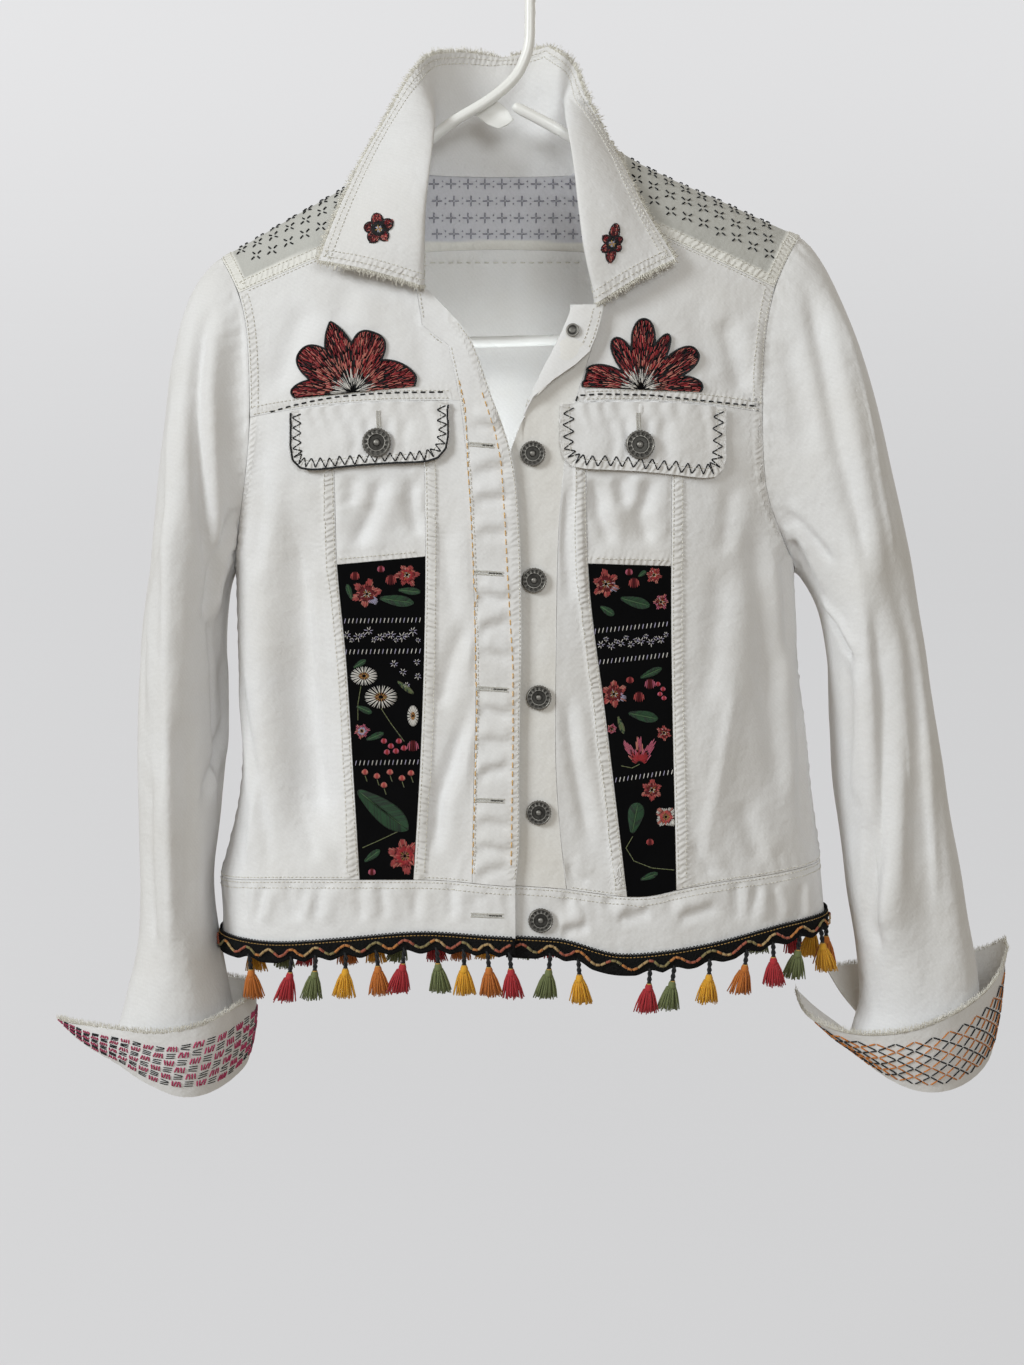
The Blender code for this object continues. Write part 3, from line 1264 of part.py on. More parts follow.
def tube(name, path, radius, finish, sides=8):
    """A bent tube in the plane y = 0, with closed rounded ends."""
    path = np.array(path, float)
    along = np.gradient(path, axis=0)
    along = along / np.linalg.norm(along, axis=1, keepdims=True)
    across = np.array((0.0, 1.0, 0.0))
    stations = [(path[0] - along[0] * radius * 0.6, along[0], 0.55)]
    stations += [(point, way, 1.0) for point, way in zip(path, along)]
    stations.append((path[-1] + along[-1] * radius * 0.6, along[-1], 0.55))
    points, faces = [], []
    for point, way, share in stations:
        upright = np.cross(way, across)
        for i in range(sides):
            angle = 2 * math.pi * (i + 0.5) / sides
            points.append(point + (across * math.cos(angle) + upright * math.sin(angle)) * radius * share)
    for r in range(len(stations) - 1):
        for i in range(sides):
            j = (i + 1) % sides
            a, b = r * sides, (r + 1) * sides
            faces.append((a + i, a + j, b + j, b + i))
    faces.append(tuple(reversed(range(sides))))
    faces.append(tuple(range((len(stations) - 1) * sides, len(stations) * sides)))
    add_object(name, points, faces, finish)


def hanger_arm(side):
    """Points of one arm, from near the apex to its rounded end."""
    sunk = (DENIM + SEAM_GAP + TUBE_RADIUS + 0.9) * math.sqrt(1 + RIDGE[side][1] ** 2)
    return [np.array((x, 0.0, ridge_height(x) - sunk if z is None else z)) for x, z in HANGER_ARMS[side]]


def build_hanger():
    """The hanger: hook, stem, right arm, bar and left arm in one bent tube, and a small web plate."""
    centre = np.array((STEM_X - HOOK_RADIUS, 0.0, TUBE_RADIUS - HOOK_RADIUS))
    hook = []
    for degrees in np.linspace(198, 0, 12):
        angle = math.radians(degrees)
        hook.append(centre + np.array((math.cos(angle), 0.0, math.sin(angle))) * HOOK_RADIUS)
    right, left = hanger_arm(-1), hanger_arm(1)
    path = hook + [np.array(p, float) for p in HANGER_STEM]
    path += right + [right[-1] + np.array(p, float) for p in HANGER_END[-1]]
    path += [np.array(p, float) for p in HANGER_BAR]
    path += [left[-1] + np.array(p, float) for p in reversed(HANGER_END[1])]
    path += list(reversed(left)) + [np.array(HANGER_TIP, float)]
    smooth = []
    for i in range(len(path) - 1):
        span = np.linalg.norm(path[i + 1] - path[i])
        cuts = 1 if span < 17 or span > 60 else 2
        smooth += [catmull(path, (i + c / cuts) / (len(path) - 1)) for c in range(cuts)]
    tube("hanger_tube", smooth + [path[-1]], TUBE_RADIUS, "white plastic")
    outline = [np.array((x, z), float) for x, z in WEB_PLATE]
    points = [np.array((x, y, z)) for y in WEB_PLATE_Y for x, z in outline]
    count = len(outline)
    faces = [tuple(range(count)), tuple(reversed(range(count, 2 * count)))]
    faces += [((i + 1) % count, i, i + count, (i + 1) % count + count) for i in range(count)]
    add_object("hanger_web", points, faces, "white plastic")


def clear_scene():
    for old in list(bpy.data.objects):
        bpy.data.objects.remove(old, do_unlink=True)


clear_scene()
seams_at_shoulder = {}
for garment_side, side_word in ((-1, "right"), (1, "left")):
    seams_at_shoulder[garment_side] = build_front(garment_side, side_word)
    build_sleeve(garment_side, side_word)
    build_cuff(garment_side, side_word)
build_right_placket()
build_left_placket()
for garment_side, side_word in ((-1, "right"), (1, "left")):
    under_flap = [f"{piece}_{side_word}" for piece in ("placket", "front_centre", "pocket_panel", "front_side")]
    build_flap(garment_side, side_word, surface_of(under_flap))
    build_half_flower(garment_side, side_word, surface_of([f"front_yoke_{side_word}", f"placket_{side_word}"]))
build_back()
build_back_yoke(seams_at_shoulder)
build_collar()
build_braid(build_waistband())
build_buttons()
build_hanger()
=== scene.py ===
import math

import bmesh
import bpy
import numpy as np
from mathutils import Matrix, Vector, noise
from mathutils.bvhtree import BVHTree
from mathutils.kdtree import KDTree


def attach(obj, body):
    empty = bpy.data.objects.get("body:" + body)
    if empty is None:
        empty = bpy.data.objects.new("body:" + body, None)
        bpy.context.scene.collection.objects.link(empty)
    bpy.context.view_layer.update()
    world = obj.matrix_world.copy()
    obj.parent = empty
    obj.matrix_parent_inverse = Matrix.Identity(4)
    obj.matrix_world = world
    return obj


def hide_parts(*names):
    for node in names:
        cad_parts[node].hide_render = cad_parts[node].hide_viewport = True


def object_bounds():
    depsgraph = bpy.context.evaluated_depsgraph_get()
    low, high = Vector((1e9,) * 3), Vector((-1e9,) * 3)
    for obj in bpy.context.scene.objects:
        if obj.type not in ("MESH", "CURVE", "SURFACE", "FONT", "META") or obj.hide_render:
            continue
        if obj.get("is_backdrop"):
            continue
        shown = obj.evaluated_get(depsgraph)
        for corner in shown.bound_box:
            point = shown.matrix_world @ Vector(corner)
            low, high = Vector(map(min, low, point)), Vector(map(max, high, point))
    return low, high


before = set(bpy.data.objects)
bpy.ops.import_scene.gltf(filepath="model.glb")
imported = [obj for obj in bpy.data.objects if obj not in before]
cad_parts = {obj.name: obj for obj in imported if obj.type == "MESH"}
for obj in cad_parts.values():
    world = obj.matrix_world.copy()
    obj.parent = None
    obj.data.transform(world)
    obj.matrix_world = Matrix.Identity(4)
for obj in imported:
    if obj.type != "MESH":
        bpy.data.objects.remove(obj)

cad_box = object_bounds()

# Camera, floor and light. The camera looks 5 degrees down from a little above the jacket's middle. A pale sweep is
# floor and background in one. A large window lights it from the left, with a weak lamp in front, one behind, and a
# small one inside the jacket that stands for the daylight coming through the cloth.
PICTURE = (1024, 1365)
FOCAL_PIXELS = 2000.0
SENSOR_MM = 36.0
bpy.ops.object.camera_add(location=(0.0058, -1.5, -0.4122), rotation=(math.radians(85), 0, 0))
camera = bpy.context.object
camera.data.sensor_width = SENSOR_MM
camera.data.lens = FOCAL_PIXELS * SENSOR_MM / PICTURE[1]
bpy.context.scene.camera = camera
bpy.context.view_layer.update()
bpy.context.scene.view_settings.view_transform = "Standard"


def colour(hex_code):
    """An sRGB hex colour as linear red, green, blue and alpha."""
    parts = [int(hex_code[i:i + 2], 16) / 255 for i in (1, 3, 5)]
    return tuple(c / 12.92 if c <= 0.04045 else ((c + 0.055) / 1.055) ** 2.4 for c in parts) + (1.0,)


def feed(node, **sockets):
    """Gives sockets of a node, by name or by number (_0), a value or a link."""
    for key, value in sockets.items():
        socket = node.inputs[int(key[1:]) if key[0] == "_" else key.replace("_", " ")]
        if isinstance(value, bpy.types.NodeSocket):
            node.id_data.links.new(value, socket)
        else:
            socket.default_value = value
    return node


def add_node(tree, kind, settings=None, **sockets):
    """Adds a shader node with its settings, values and links."""
    node = tree.nodes.new(kind)
    for key, value in (settings or {}).items():
        setattr(node, key, value)
    return feed(node, **sockets)


def new_material(name, **surface):
    """A material with one Principled shader. Returns it, its node tree, the shader and its object coordinates."""
    made = bpy.data.materials.new(name)
    made.use_nodes = True
    tree = made.node_tree
    return (made, tree, feed(tree.nodes["Principled BSDF"], **surface),
            add_node(tree, "ShaderNodeTexCoord").outputs["Object"])


def only(obj):
    """Selects one object alone and makes it the active one."""
    bpy.ops.object.select_all(action="DESELECT")
    obj.select_set(True)
    bpy.context.view_layer.objects.active = obj


bpy.ops.object.select_all(action="DESELECT")
bpy.ops.mesh.primitive_plane_add(size=12.0, location=(0, -3.6, -1.35))
sweep = bpy.context.object
sweep.name = "floor_sweep"
for edge in sweep.data.edges:
    edge.select = all(sweep.data.vertices[v].co.y > 5 for v in edge.vertices)
bpy.ops.object.mode_set(mode="EDIT")
bpy.ops.mesh.select_mode(type="EDGE")
bpy.ops.mesh.extrude_region_move(TRANSFORM_OT_translate={"value": (0, 0, 5.0)})
bpy.ops.object.mode_set(mode="OBJECT")
for edge in sweep.data.edges:
    ends = [sweep.data.vertices[v].co for v in edge.vertices]
    edge.select = all(end.y > 5 and end.z < 0.1 for end in ends)
bpy.ops.object.mode_set(mode="EDIT")
bpy.ops.mesh.bevel(offset=1.6, segments=40, affect="EDGES")
bpy.ops.mesh.normals_make_consistent(inside=False)
bpy.ops.object.mode_set(mode="OBJECT")
bpy.ops.object.transform_apply(location=True, rotation=True, scale=True)
# Matt paper with painted light: it glows a little, more so to the left and higher up, as a lit studio background does.
paper, tree, shader, place = new_material("background_paper", Base_Color=colour("#6A6B6D"), Roughness=1.0)
parts = add_node(tree, "ShaderNodeSeparateXYZ", Vector=place).outputs
fall = add_node(tree, "ShaderNodeMath", {"operation": "MULTIPLY_ADD"}, _0=parts["X"], _1=-0.024, _2=0.560)
high = add_node(tree, "ShaderNodeMapRange", {"interpolation_type": "SMOOTHSTEP"}, Value=parts["Z"], _1=-0.6, _2=0.6,
                _3=0.0, _4=0.12)
glow = add_node(tree, "ShaderNodeMath", {"operation": "ADD"}, _0=fall.outputs[0], _1=high.outputs[0])
feed(shader, Emission_Color=colour("#FBFBFD"), Emission_Strength=glow.outputs[0])
sweep.data.materials.append(paper)
sweep.visible_diffuse = False
sweep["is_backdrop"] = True

world = bpy.data.worlds.new("studio")
bpy.context.scene.world = world
world.use_nodes = True
feed(world.node_tree.nodes["Background"], Color=colour("#F2E4CC"), Strength=0.29)
for name, place, aim, size, power in (
    ("window", (-4.5, -3.2, 1.9), (0.0, 0.0, -0.45), 2.0, 210.0),
    ("front", (0.5, -2.9, 0.45), (0.0, 0.0, -0.35), 0.9, 22.0),
    ("rear", (1.7, 1.9, 0.8), (0.0, 0.0, -0.45), 0.9, 12.0),
    ("through_cloth", (0.0, -0.02, -0.37), (0.0, 0.3, -0.17), 0.11, 0.08),
):
    bpy.ops.object.light_add(type="AREA", location=place)
    light = bpy.context.object
    light.name = name
    light.data.size, light.data.energy, light.data.color = size, power, (0.93, 0.98, 1.0)
    light.visible_camera = False
    light.rotation_euler = (Vector(aim) - Vector(place)).to_track_quat("-Z", "Y").to_euler()

# White denim. Washed off-white cotton twill: matt, a little warm where it is worn, its fine diagonal ribs
# drawn 1.1 mm apart, which is as coarse as they must be to show. Every cut piece is a thin sheet on its solid.
MM = 0.001
TWILL_MM = 1.1
ROPE_MM = 4.4  # from ridge to ridge, where a seam's stitches pull
BOLDNESS = 2.2  # a crease is this much deeper than its number, which was read off the picture
LEFT_OUT = 99.0  # a distance beyond every seam


def denim(name, hex_code, worn_hex, sheen=0.12, shine=0.2, weave=1.0, bound_hex=None):
    """Twill cloth. Beside a seam it is roped: the attributes hold the distance from the seam and along it, in mm."""
    made, tree, shader, place = new_material(name, Roughness=0.93, Sheen_Weight=sheen, Sheen_Roughness=0.6,
                                             Specular_IOR_Level=shine)
    ribs = add_node(tree, "ShaderNodeTexWave", {"bands_direction": "DIAGONAL"}, Vector=place,
                    Scale=0.18 / (TWILL_MM * MM), Distortion=2.0, Detail=2.0)
    slubs, patches, mottle = (add_node(tree, "ShaderNodeTexNoise", Vector=place, Scale=scale, Detail=detail)
                              for scale, detail in ((900.0, 3.0), (16.0, 4.0), (210.0, 3.0)))
    rumple = add_node(tree, "ShaderNodeTexNoise", Vector=place, Scale=55.0, Detail=3.0, Roughness=0.6)
    near, far, run = (add_node(tree, "ShaderNodeAttribute", {"attribute_name": word}).outputs["Fac"]
                      for word in ("seam", "seam_far", "seam_run"))
    bent = add_node(tree, "ShaderNodeMath", {"operation": "MULTIPLY_ADD"}, _0=far, _1=0.35, _2=run)
    uneven = add_node(tree, "ShaderNodeMath", {"operation": "MULTIPLY_ADD"}, _0=rumple.outputs["Fac"], _1=9.0,
                      _2=bent.outputs[0])
    turns = add_node(tree, "ShaderNodeMath", {"operation": "MULTIPLY"}, _0=uneven.outputs[0],
                     _1=2 * math.pi / ROPE_MM)
    rope = add_node(tree, "ShaderNodeMath", {"operation": "SINE"}, _0=turns.outputs[0])
    roped = add_node(tree, "ShaderNodeMath", {"operation": "MULTIPLY"}, _0=rope.outputs[0], _1=near)
    mottled = add_node(tree, "ShaderNodeMath", {"operation": "MULTIPLY"}, _0=near, _1=mottle.outputs["Fac"])
    warm = add_node(tree, "ShaderNodeMapRange", Value=patches.outputs["Fac"], _1=0.4, _2=0.75, _3=0.0, _4=0.55)
    worn = add_node(tree, "ShaderNodeMath", {"operation": "ADD", "use_clamp": True}, _0=warm.outputs[0],
                    _1=mottled.outputs[0])
    cloth = add_node(tree, "ShaderNodeMix", {"data_type": "RGBA"}, Factor=worn.outputs[0], _6=colour(hex_code),
                     _7=colour(worn_hex))
    if bound_hex:
        edging = add_node(tree, "ShaderNodeAttribute", {"attribute_name": "bound"}).outputs["Fac"]
        cloth = add_node(tree, "ShaderNodeMix", {"data_type": "RGBA"}, Factor=edging, _6=cloth.outputs[2],
                         _7=colour(bound_hex))
    grain = add_node(tree, "ShaderNodeMath", {"operation": "MULTIPLY_ADD"}, _0=ribs.outputs["Fac"], _1=0.16,
                     _2=slubs.outputs["Fac"])
    speck = add_node(tree, "ShaderNodeMapRange", Value=grain.outputs[0], _1=0.3, _2=0.9, _3=1 - 0.05 * weave,
                     _4=1 + 0.015 * weave)
    tone = add_node(tree, "ShaderNodeMix", {"data_type": "RGBA", "blend_type": "MULTIPLY"}, Factor=1.0,
                    _6=cloth.outputs[2], _7=speck.outputs[0])
    wrinkled = add_node(tree, "ShaderNodeBump", Height=rumple.outputs["Fac"], Distance=0.0026, Strength=0.6)
    seamed = add_node(tree, "ShaderNodeBump", Height=roped.outputs[0], Distance=0.00028, Strength=1.0,
                      Normal=wrinkled.outputs[0])
    ribbed = add_node(tree, "ShaderNodeBump", Height=grain.outputs[0], Distance=0.0002, Strength=0.35,
                      Normal=seamed.outputs[0])
    feed(shader, Base_Color=tone.outputs[2], Normal=ribbed.outputs[0])
    return made


white_denim = denim("white_denim_twill", "#EAEAEC", "#E1DFDD")
# The reverse, painted light: kept as light as the face to make up for the shade inside the jacket.
denim_inside = denim("white_denim_reverse", "#ECEBEA", "#DFDBD4")


def smooth(low, high, value):
    t = np.clip((value - low) / (high - low), 0, 1)
    return t * t * (3 - 2 * t)


def unit(way):
    return way / (np.linalg.norm(way, axis=-1, keepdims=True) + 1e-12)


def reaches(line):
    """How far along a line each of its points lies."""
    return np.concatenate([[0], np.cumsum(np.linalg.norm(np.diff(line, axis=0), axis=1))])


def at_reach(line, reach, distance):
    """The place on a line at a distance along it."""
    return np.array([np.interp(distance, reach, line[:, k]) for k in range(3)])


def tree_of(places):
    tree = KDTree(len(places))
    for index, place in enumerate(places):
        tree.insert(place, index)
    tree.balance()
    return tree


def spread(points, step):
    """A line of picture points, filled in so that no two are further apart than the step."""
    made = [points[0]]
    for (u0, v0), (u1, v1) in zip(points, points[1:]):
        count = max(int(math.hypot(u1 - u0, v1 - v0) / step), 1)
        made += [(u0 + (u1 - u0) * i / count, v0 + (v1 - v0) * i / count) for i in range(1, count + 1)]
    return made


def build(name, points, faces, materials=(), tints=None):
    """A new object of points and faces. The tints say which of its materials each face has."""
    mesh = bpy.data.meshes.new(name)
    mesh.from_pydata(points, [], faces)
    for material in materials:
        mesh.materials.append(material)
    if tints is not None:
        mesh.polygons.foreach_set("material_index", tints)
    return place_in_scene(name, mesh)


def place_in_scene(name, mesh):
    made = bpy.data.objects.new(name, mesh)
    bpy.context.scene.collection.objects.link(made)
    return made


def apply_modifier(obj, kind, **settings):
    added = obj.modifiers.new(kind, kind)
    for key, value in settings.items():
        setattr(added, key, value)
    only(obj)
    bpy.ops.object.modifier_apply(modifier=kind)


def clean(obj, merge=0.0, quads=0.0, outward=True):
    """Merges doubles within a distance, joins triangles within an angle and turns the faces outward."""
    only(obj)
    bpy.ops.object.mode_set(mode="EDIT")
    bpy.ops.mesh.select_all(action="SELECT")
    if merge:
        bpy.ops.mesh.remove_doubles(threshold=merge)
    if quads:
        bpy.ops.mesh.tris_convert_to_quads(face_threshold=quads, shape_threshold=quads)
    if outward:
        bpy.ops.mesh.normals_make_consistent(inside=False)
    bpy.ops.object.mode_set(mode="OBJECT")


def declare(obj, slot, node=None):
    """Puts a finished piece on the one body, in place of the node that it stands for. The slot is not used."""
    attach(obj, "root")
    if node:
        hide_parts(node)


class Sheet:
    """A fine sheet of cloth that takes creases, bands and puckers, and then is sewn."""

    def __init__(self, node, obj, hold=4.0):
        self.node, self.obj = node, obj
        count = len(obj.data.vertices)
        self.points, self.normals = np.empty(count * 3), np.empty(count * 3)
        obj.data.vertices.foreach_get("co", self.points)
        obj.data.vertex_normals.foreach_get("vector", self.normals)
        self.points, self.normals = self.points.reshape(-1, 3), self.normals.reshape(-1, 3)
        self.worn, self.seam_run, self.bound = np.zeros(count), np.zeros(count), np.zeros(count)
        self.seam_far = np.full(count, LEFT_OUT)
        rim = tree_of(self.points[np.concatenate(self.find_edges())])
        self.start = self.points.copy()
        inward = np.array([rim.find(p)[2] for p in self.points]) / MM
        self.free = smooth(0, max(hold, 1e-6), inward + (hold == 0))
        self.settle()

    def find_edges(self):
        """Reads the open edge as lines of (points, outward, run), sorted by the way each stretch faces."""
        mesh = self.obj.data
        count = np.zeros(len(mesh.edges), int)
        owner = np.zeros(len(mesh.edges), int)
        for face in mesh.polygons:
            for key in face.loop_indices:
                edge = mesh.loops[key].edge_index
                count[edge] += 1
                owner[edge] = face.index
        out_at, link = {}, {}
        for edge in np.nonzero(count == 1)[0]:
            a, b = mesh.edges[edge].vertices
            way = unit(self.points[b] - self.points[a])
            away = (self.points[a] + self.points[b]) / 2 - np.array(mesh.polygons[owner[edge]].center)
            away = unit(away - way * (away @ way))
            for end, other in ((a, b), (b, a)):
                link.setdefault(end, []).append(other)
                out_at[end] = out_at.get(end, 0) + away
        loops, left = [], set(link)
        while left:
            loop = [left.pop()]
            while onward := [v for v in link[loop[-1]] if v in left]:
                left.discard(onward[0])
                loop.append(onward[0])
            loops.append(np.array(loop))
        loops.sort(key=lambda loop: -len(loop))
        self.lines = {}
        for number, loop in enumerate(loops):
            at, out = self.points[loop], unit(np.array([out_at[v] for v in loop]))
            if number == 0:
                self.outline = (at, out)
            steps = np.linalg.norm(np.roll(at, -1, axis=0) - at, axis=1)
            names = np.where(np.abs(out[:, 2]) > 0.68, np.where(out[:, 2] > 0, "top", "bottom"),
                             np.where(out[:, 0] > 0, "plus", "minus"))
            order = np.roll(np.arange(len(loop)), -int(np.argmax(names != np.roll(names, 1))))
            turns = [i for i in range(1, len(order)) if names[order[i]] != names[order[i - 1]]]
            for a, b in zip([0] + turns, turns + [len(order)]):
                if b - a >= 4 and steps[order[a:b]].sum() >= 12 * MM:
                    self.name_line(str(names[order[a]]), at, out, order[a:b])
            self.name_line(f"loop{number}", at, out, np.append(order, order[0]))
        return loops

    def name_line(self, name, at, out, part):
        self.lines.setdefault(name, []).append((at[part], out[part], reaches(at[part])))

    def name_edge(self, name, start, end, via):
        """Names the stretch of open edge from one corner to another by way of a third place, all in mm."""
        at, out = self.outline
        i, j, k = (int(np.argmin(np.linalg.norm(at - np.array(place) * MM, axis=1))) for place in (start, end, via))
        part = [(i + s) % len(at) for s in range((j - i) % len(at) + 1)]
        if k not in part:
            part = [(i - s) % len(at) for s in range((i - j) % len(at) + 1)]
        self.name_line(name, at, out, part)
        return self

    def name_where(self, name, test):
        """Names every stretch of open edge whose places pass a test."""
        at, out = self.outline
        passed = np.array([bool(test(place / MM)) for place in at])
        part = []
        for index in list(np.roll(np.arange(len(at)), -int(np.argmin(passed)))) + [None]:
            if index is not None and passed[index]:
                part.append(index)
                continue
            if len(part) > 3:
                self.name_line(name, at, out, part)
            part = []
        return self

    def stretches(self, names):
        return [line for name in names.split() for line in self.lines.get(name, [])]

    def settle(self):
        """Brings a sewn edge back to its seam and reads the sheet into a tree for finding places on it."""
        self.points = self.start + (self.points - self.start) * self.free[:, None]
        self.start = self.points.copy()
        mesh = self.obj.data
        mesh.vertices.foreach_set("co", self.points.ravel())
        mesh.update()
        faces = [tuple(face.vertices) for face in mesh.polygons]
        self.tree = BVHTree.FromPolygons([tuple(p) for p in self.points], faces)
        return self

    def beside(self, names):
        """Each point's distance to the named stretches of edge, and the run along the edge there, in mm."""
        samples = [(p, r) for at, _, run in self.stretches(names) for p, r in zip(at, run)]
        tree = tree_of([place for place, _ in samples])
        found = [tree.find(p) for p in self.points]
        return np.array([f[2] for f in found]) / MM, np.array([samples[f[1]][1] for f in found]) / MM

    def tuck(self, names, reach=3.0, under=1.2):
        """Runs an edge on beneath its neighbour, so that no light shows through the seam."""
        tree, done = tree_of(self.start), set()
        for at, out, _ in self.stretches(names):
            for place, away in zip(at, out):
                index = tree.find(place)[1]
                if index not in done:
                    self.points[index] = self.points[index] + (away * reach - self.normals[index] * under) * MM
                    self.free[index] = 1
                    done.add(index)
        return self

    def push(self, amount):
        """Moves each point along its normal, in mm."""
        self.points = self.points + self.normals * (amount * MM)[:, None]
        return self

    def band(self, names, width=8.6, height=1.1, pucker=0.3, rope=1.0):
        """A felled seam allowance: a raised strip beside the edge, roped where its two rows of stitches pull."""
        far, run = self.beside(names)
        strip = smooth(width + 0.6, width - 0.8, far)
        wander = np.sin(run / 23.0) * 1.1 + np.sin(run / 9.1 + 1.0) * 0.7
        swell = np.sin(np.pi * np.clip(far / width, 0, 1)) ** 0.6
        beyond = np.exp(-((far - width - 2.0) / 3.0) ** 2)
        nearer = far < self.seam_far
        self.seam_far = np.where(nearer, far, self.seam_far)
        self.seam_run = np.where(nearer, run, self.seam_run)
        self.worn = np.maximum(self.worn, rope * np.maximum(strip * swell, 0.2 * beyond))
        ripple = pucker * np.sin(2 * np.pi * (run + wander) / 13.0)
        return self.push(strip * height + ripple * (strip * swell + 0.4 * beyond))

    def gather(self, names, depth=0.5, pitch=9.0, reach=14.0, lean=0.3):
        """Short puckers that run from a seam into the cloth, uneven in length and spacing."""
        far, run = self.beside(names)
        wander = 2.2 * np.sin(run / 17.0 + 0.5) + 1.3 * np.sin(run / 7.3)
        ripple = np.sin(2 * np.pi * (run + lean * far + wander) / pitch)
        length = reach * (0.65 + 0.35 * np.sin(run / 12.7 + 2.0) + 0.25 * np.sin(run / 5.1))
        return self.push(depth * ripple * np.exp(-(far / np.maximum(length, 3.0)) ** 1.6) * smooth(-0.5, 1.5, far))

    def crease(self, path, width, depth, ridge=0.5, ends=0.22):
        """A soft trough, or with a negative depth a ridge, along a line of places, with a lift on one side."""
        path = [np.array(p) for p in path]
        lengths = [np.linalg.norm(b - a) for a, b in zip(path, path[1:])]
        passed, best = 0.0, np.full(len(self.points), 1e9)
        signed, share = np.zeros_like(best), np.zeros_like(best)
        for a, b, length in zip(path, path[1:], lengths):
            way = (b - a) / length
            t = np.clip((self.points - a) @ way, 0, length)
            offset = self.points - (a + t[:, None] * way)
            distance = np.linalg.norm(offset, axis=1)
            nearer = distance < best
            best = np.where(nearer, distance, best)
            signed = np.where(nearer, np.einsum("ij,ij->i", offset, np.cross(self.normals, way)), signed)
            share = np.where(nearer, (passed + t) / sum(lengths), share)
            passed += length
        side = np.sign(signed) * best / MM
        fade = smooth(0, ends, share) * smooth(1, 1 - ends, share)
        shape = -np.exp(-(side / width) ** 2) + ridge * np.exp(-((side - 1.9 * width) / (1.4 * width)) ** 2)
        return self.push(BOLDNESS * depth * fade * shape)

    def creases(self, *rows):
        """Creases along picture points, each row ending with its width, depth and ridge."""
        for *points, width, depth, ridge in rows:
            self.crease(self.line(*points), width, depth, ridge)
        return self

    def rear_creases(self, *rows):
        """Creases along places on the back, each row ending with its width and depth."""
        for *places, width, depth in rows:
            self.crease([self.behind(x, z)[0] for x, z in places], width, depth)
        return self

    def drift(self, amount, scale, seed):
        """Slow uneven waves, as cloth that has been worn and washed never lies flat."""
        aside = Vector((seed, 0, 0))
        return self.push(amount * np.array([noise.noise(Vector(p) / (scale * MM) + aside) for p in self.points]))

    def struck(self, start, way, instead):
        """The place where a ray meets the sheet, or else the one nearest to a point, and the normal there."""
        hit = self.tree.ray_cast(start, way)
        if hit[0] is None:
            hit = self.tree.find_nearest(instead)
        return np.array(hit[0]), np.array(hit[1])

    def seen(self, u, v):
        """The place on the sheet under a point of the picture, and its normal."""
        across, down = (u - PICTURE[0] / 2) / FOCAL_PIXELS, (v - PICTURE[1] / 2) / FOCAL_PIXELS
        way = camera.matrix_world.to_3x3() @ Vector((across, -down, -1.0))
        return self.struck(camera.location, way, camera.location + way * ((-0.06 - camera.location.y) / way.y))

    def behind(self, x, z):
        """The same for a place on the back, in mm across and up."""
        return self.struck(Vector((x * MM, 0.3, z * MM)), Vector((0, -1, 0)), Vector((x * MM, 0.06, z * MM)))

    def line(self, *picture_points):
        return [self.seen(u, v)[0] for u, v in picture_points]

    def along_edge(self, names, inset, pitch, skip=0.0):
        """Pairs of near places along an inset line beside an edge, one pair for every stitch."""
        pairs = []
        for at, out, _ in self.stretches(names):
            line = at - out * inset * MM
            reach = reaches(line) / MM
            pairs += [[at_reach(line, reach, s) for s in (start, start + pitch)]
                      for start in np.arange(skip, reach[-1] - skip - pitch, pitch)]
        return pairs

    def stitched(self, *rows, slot="white_denim"):
        """Settles the sheet and starts its stitches with rows in cream: the edge, and how far in each row runs."""
        threads = Stitches(f"{self.node}_stitches", self.settle(), slot)
        for names, *insets in rows:
            for inset in insets:
                threads.row(names, inset, cream_thread)
        return threads

    def sew(self, flat, area, rests_on=(), slot="white_denim", thickness=1.1, outside=None, inside=None):
        mesh = self.settle().obj.data
        mesh.materials.append(outside or white_denim)
        mesh.materials.append(inside or denim_inside)
        ends = np.array([edge.vertices[:] for edge in mesh.edges])
        torn = ends[np.abs(self.seam_run[ends[:, 0]] - self.seam_run[ends[:, 1]]) > 6.0]
        self.worn[torn.ravel()] = 0.0
        for name, values in (("seam", self.worn), ("seam_far", np.minimum(self.seam_far, 60.0)),
                             ("seam_run", self.seam_run), ("bound", self.bound)):
            mesh.attributes.new(name, "FLOAT", "POINT").data.foreach_set("value", values)
        apply_modifier(self.obj, "SOLIDIFY", thickness=thickness * MM, offset=-1.0, material_offset=1)
        bpy.ops.object.shade_smooth_by_angle(angle=math.radians(55))
        declare(self.obj, slot, self.node)


def away_from_body(centre, normal):
    """Scores a face for the outer side of a flat piece."""
    return normal.x * (centre.x - 0.005) + normal.y * centre.y


def large(centre, normal):
    """Scores a face for the larger side, which is the outer one of a piece that goes round."""
    return 1.0


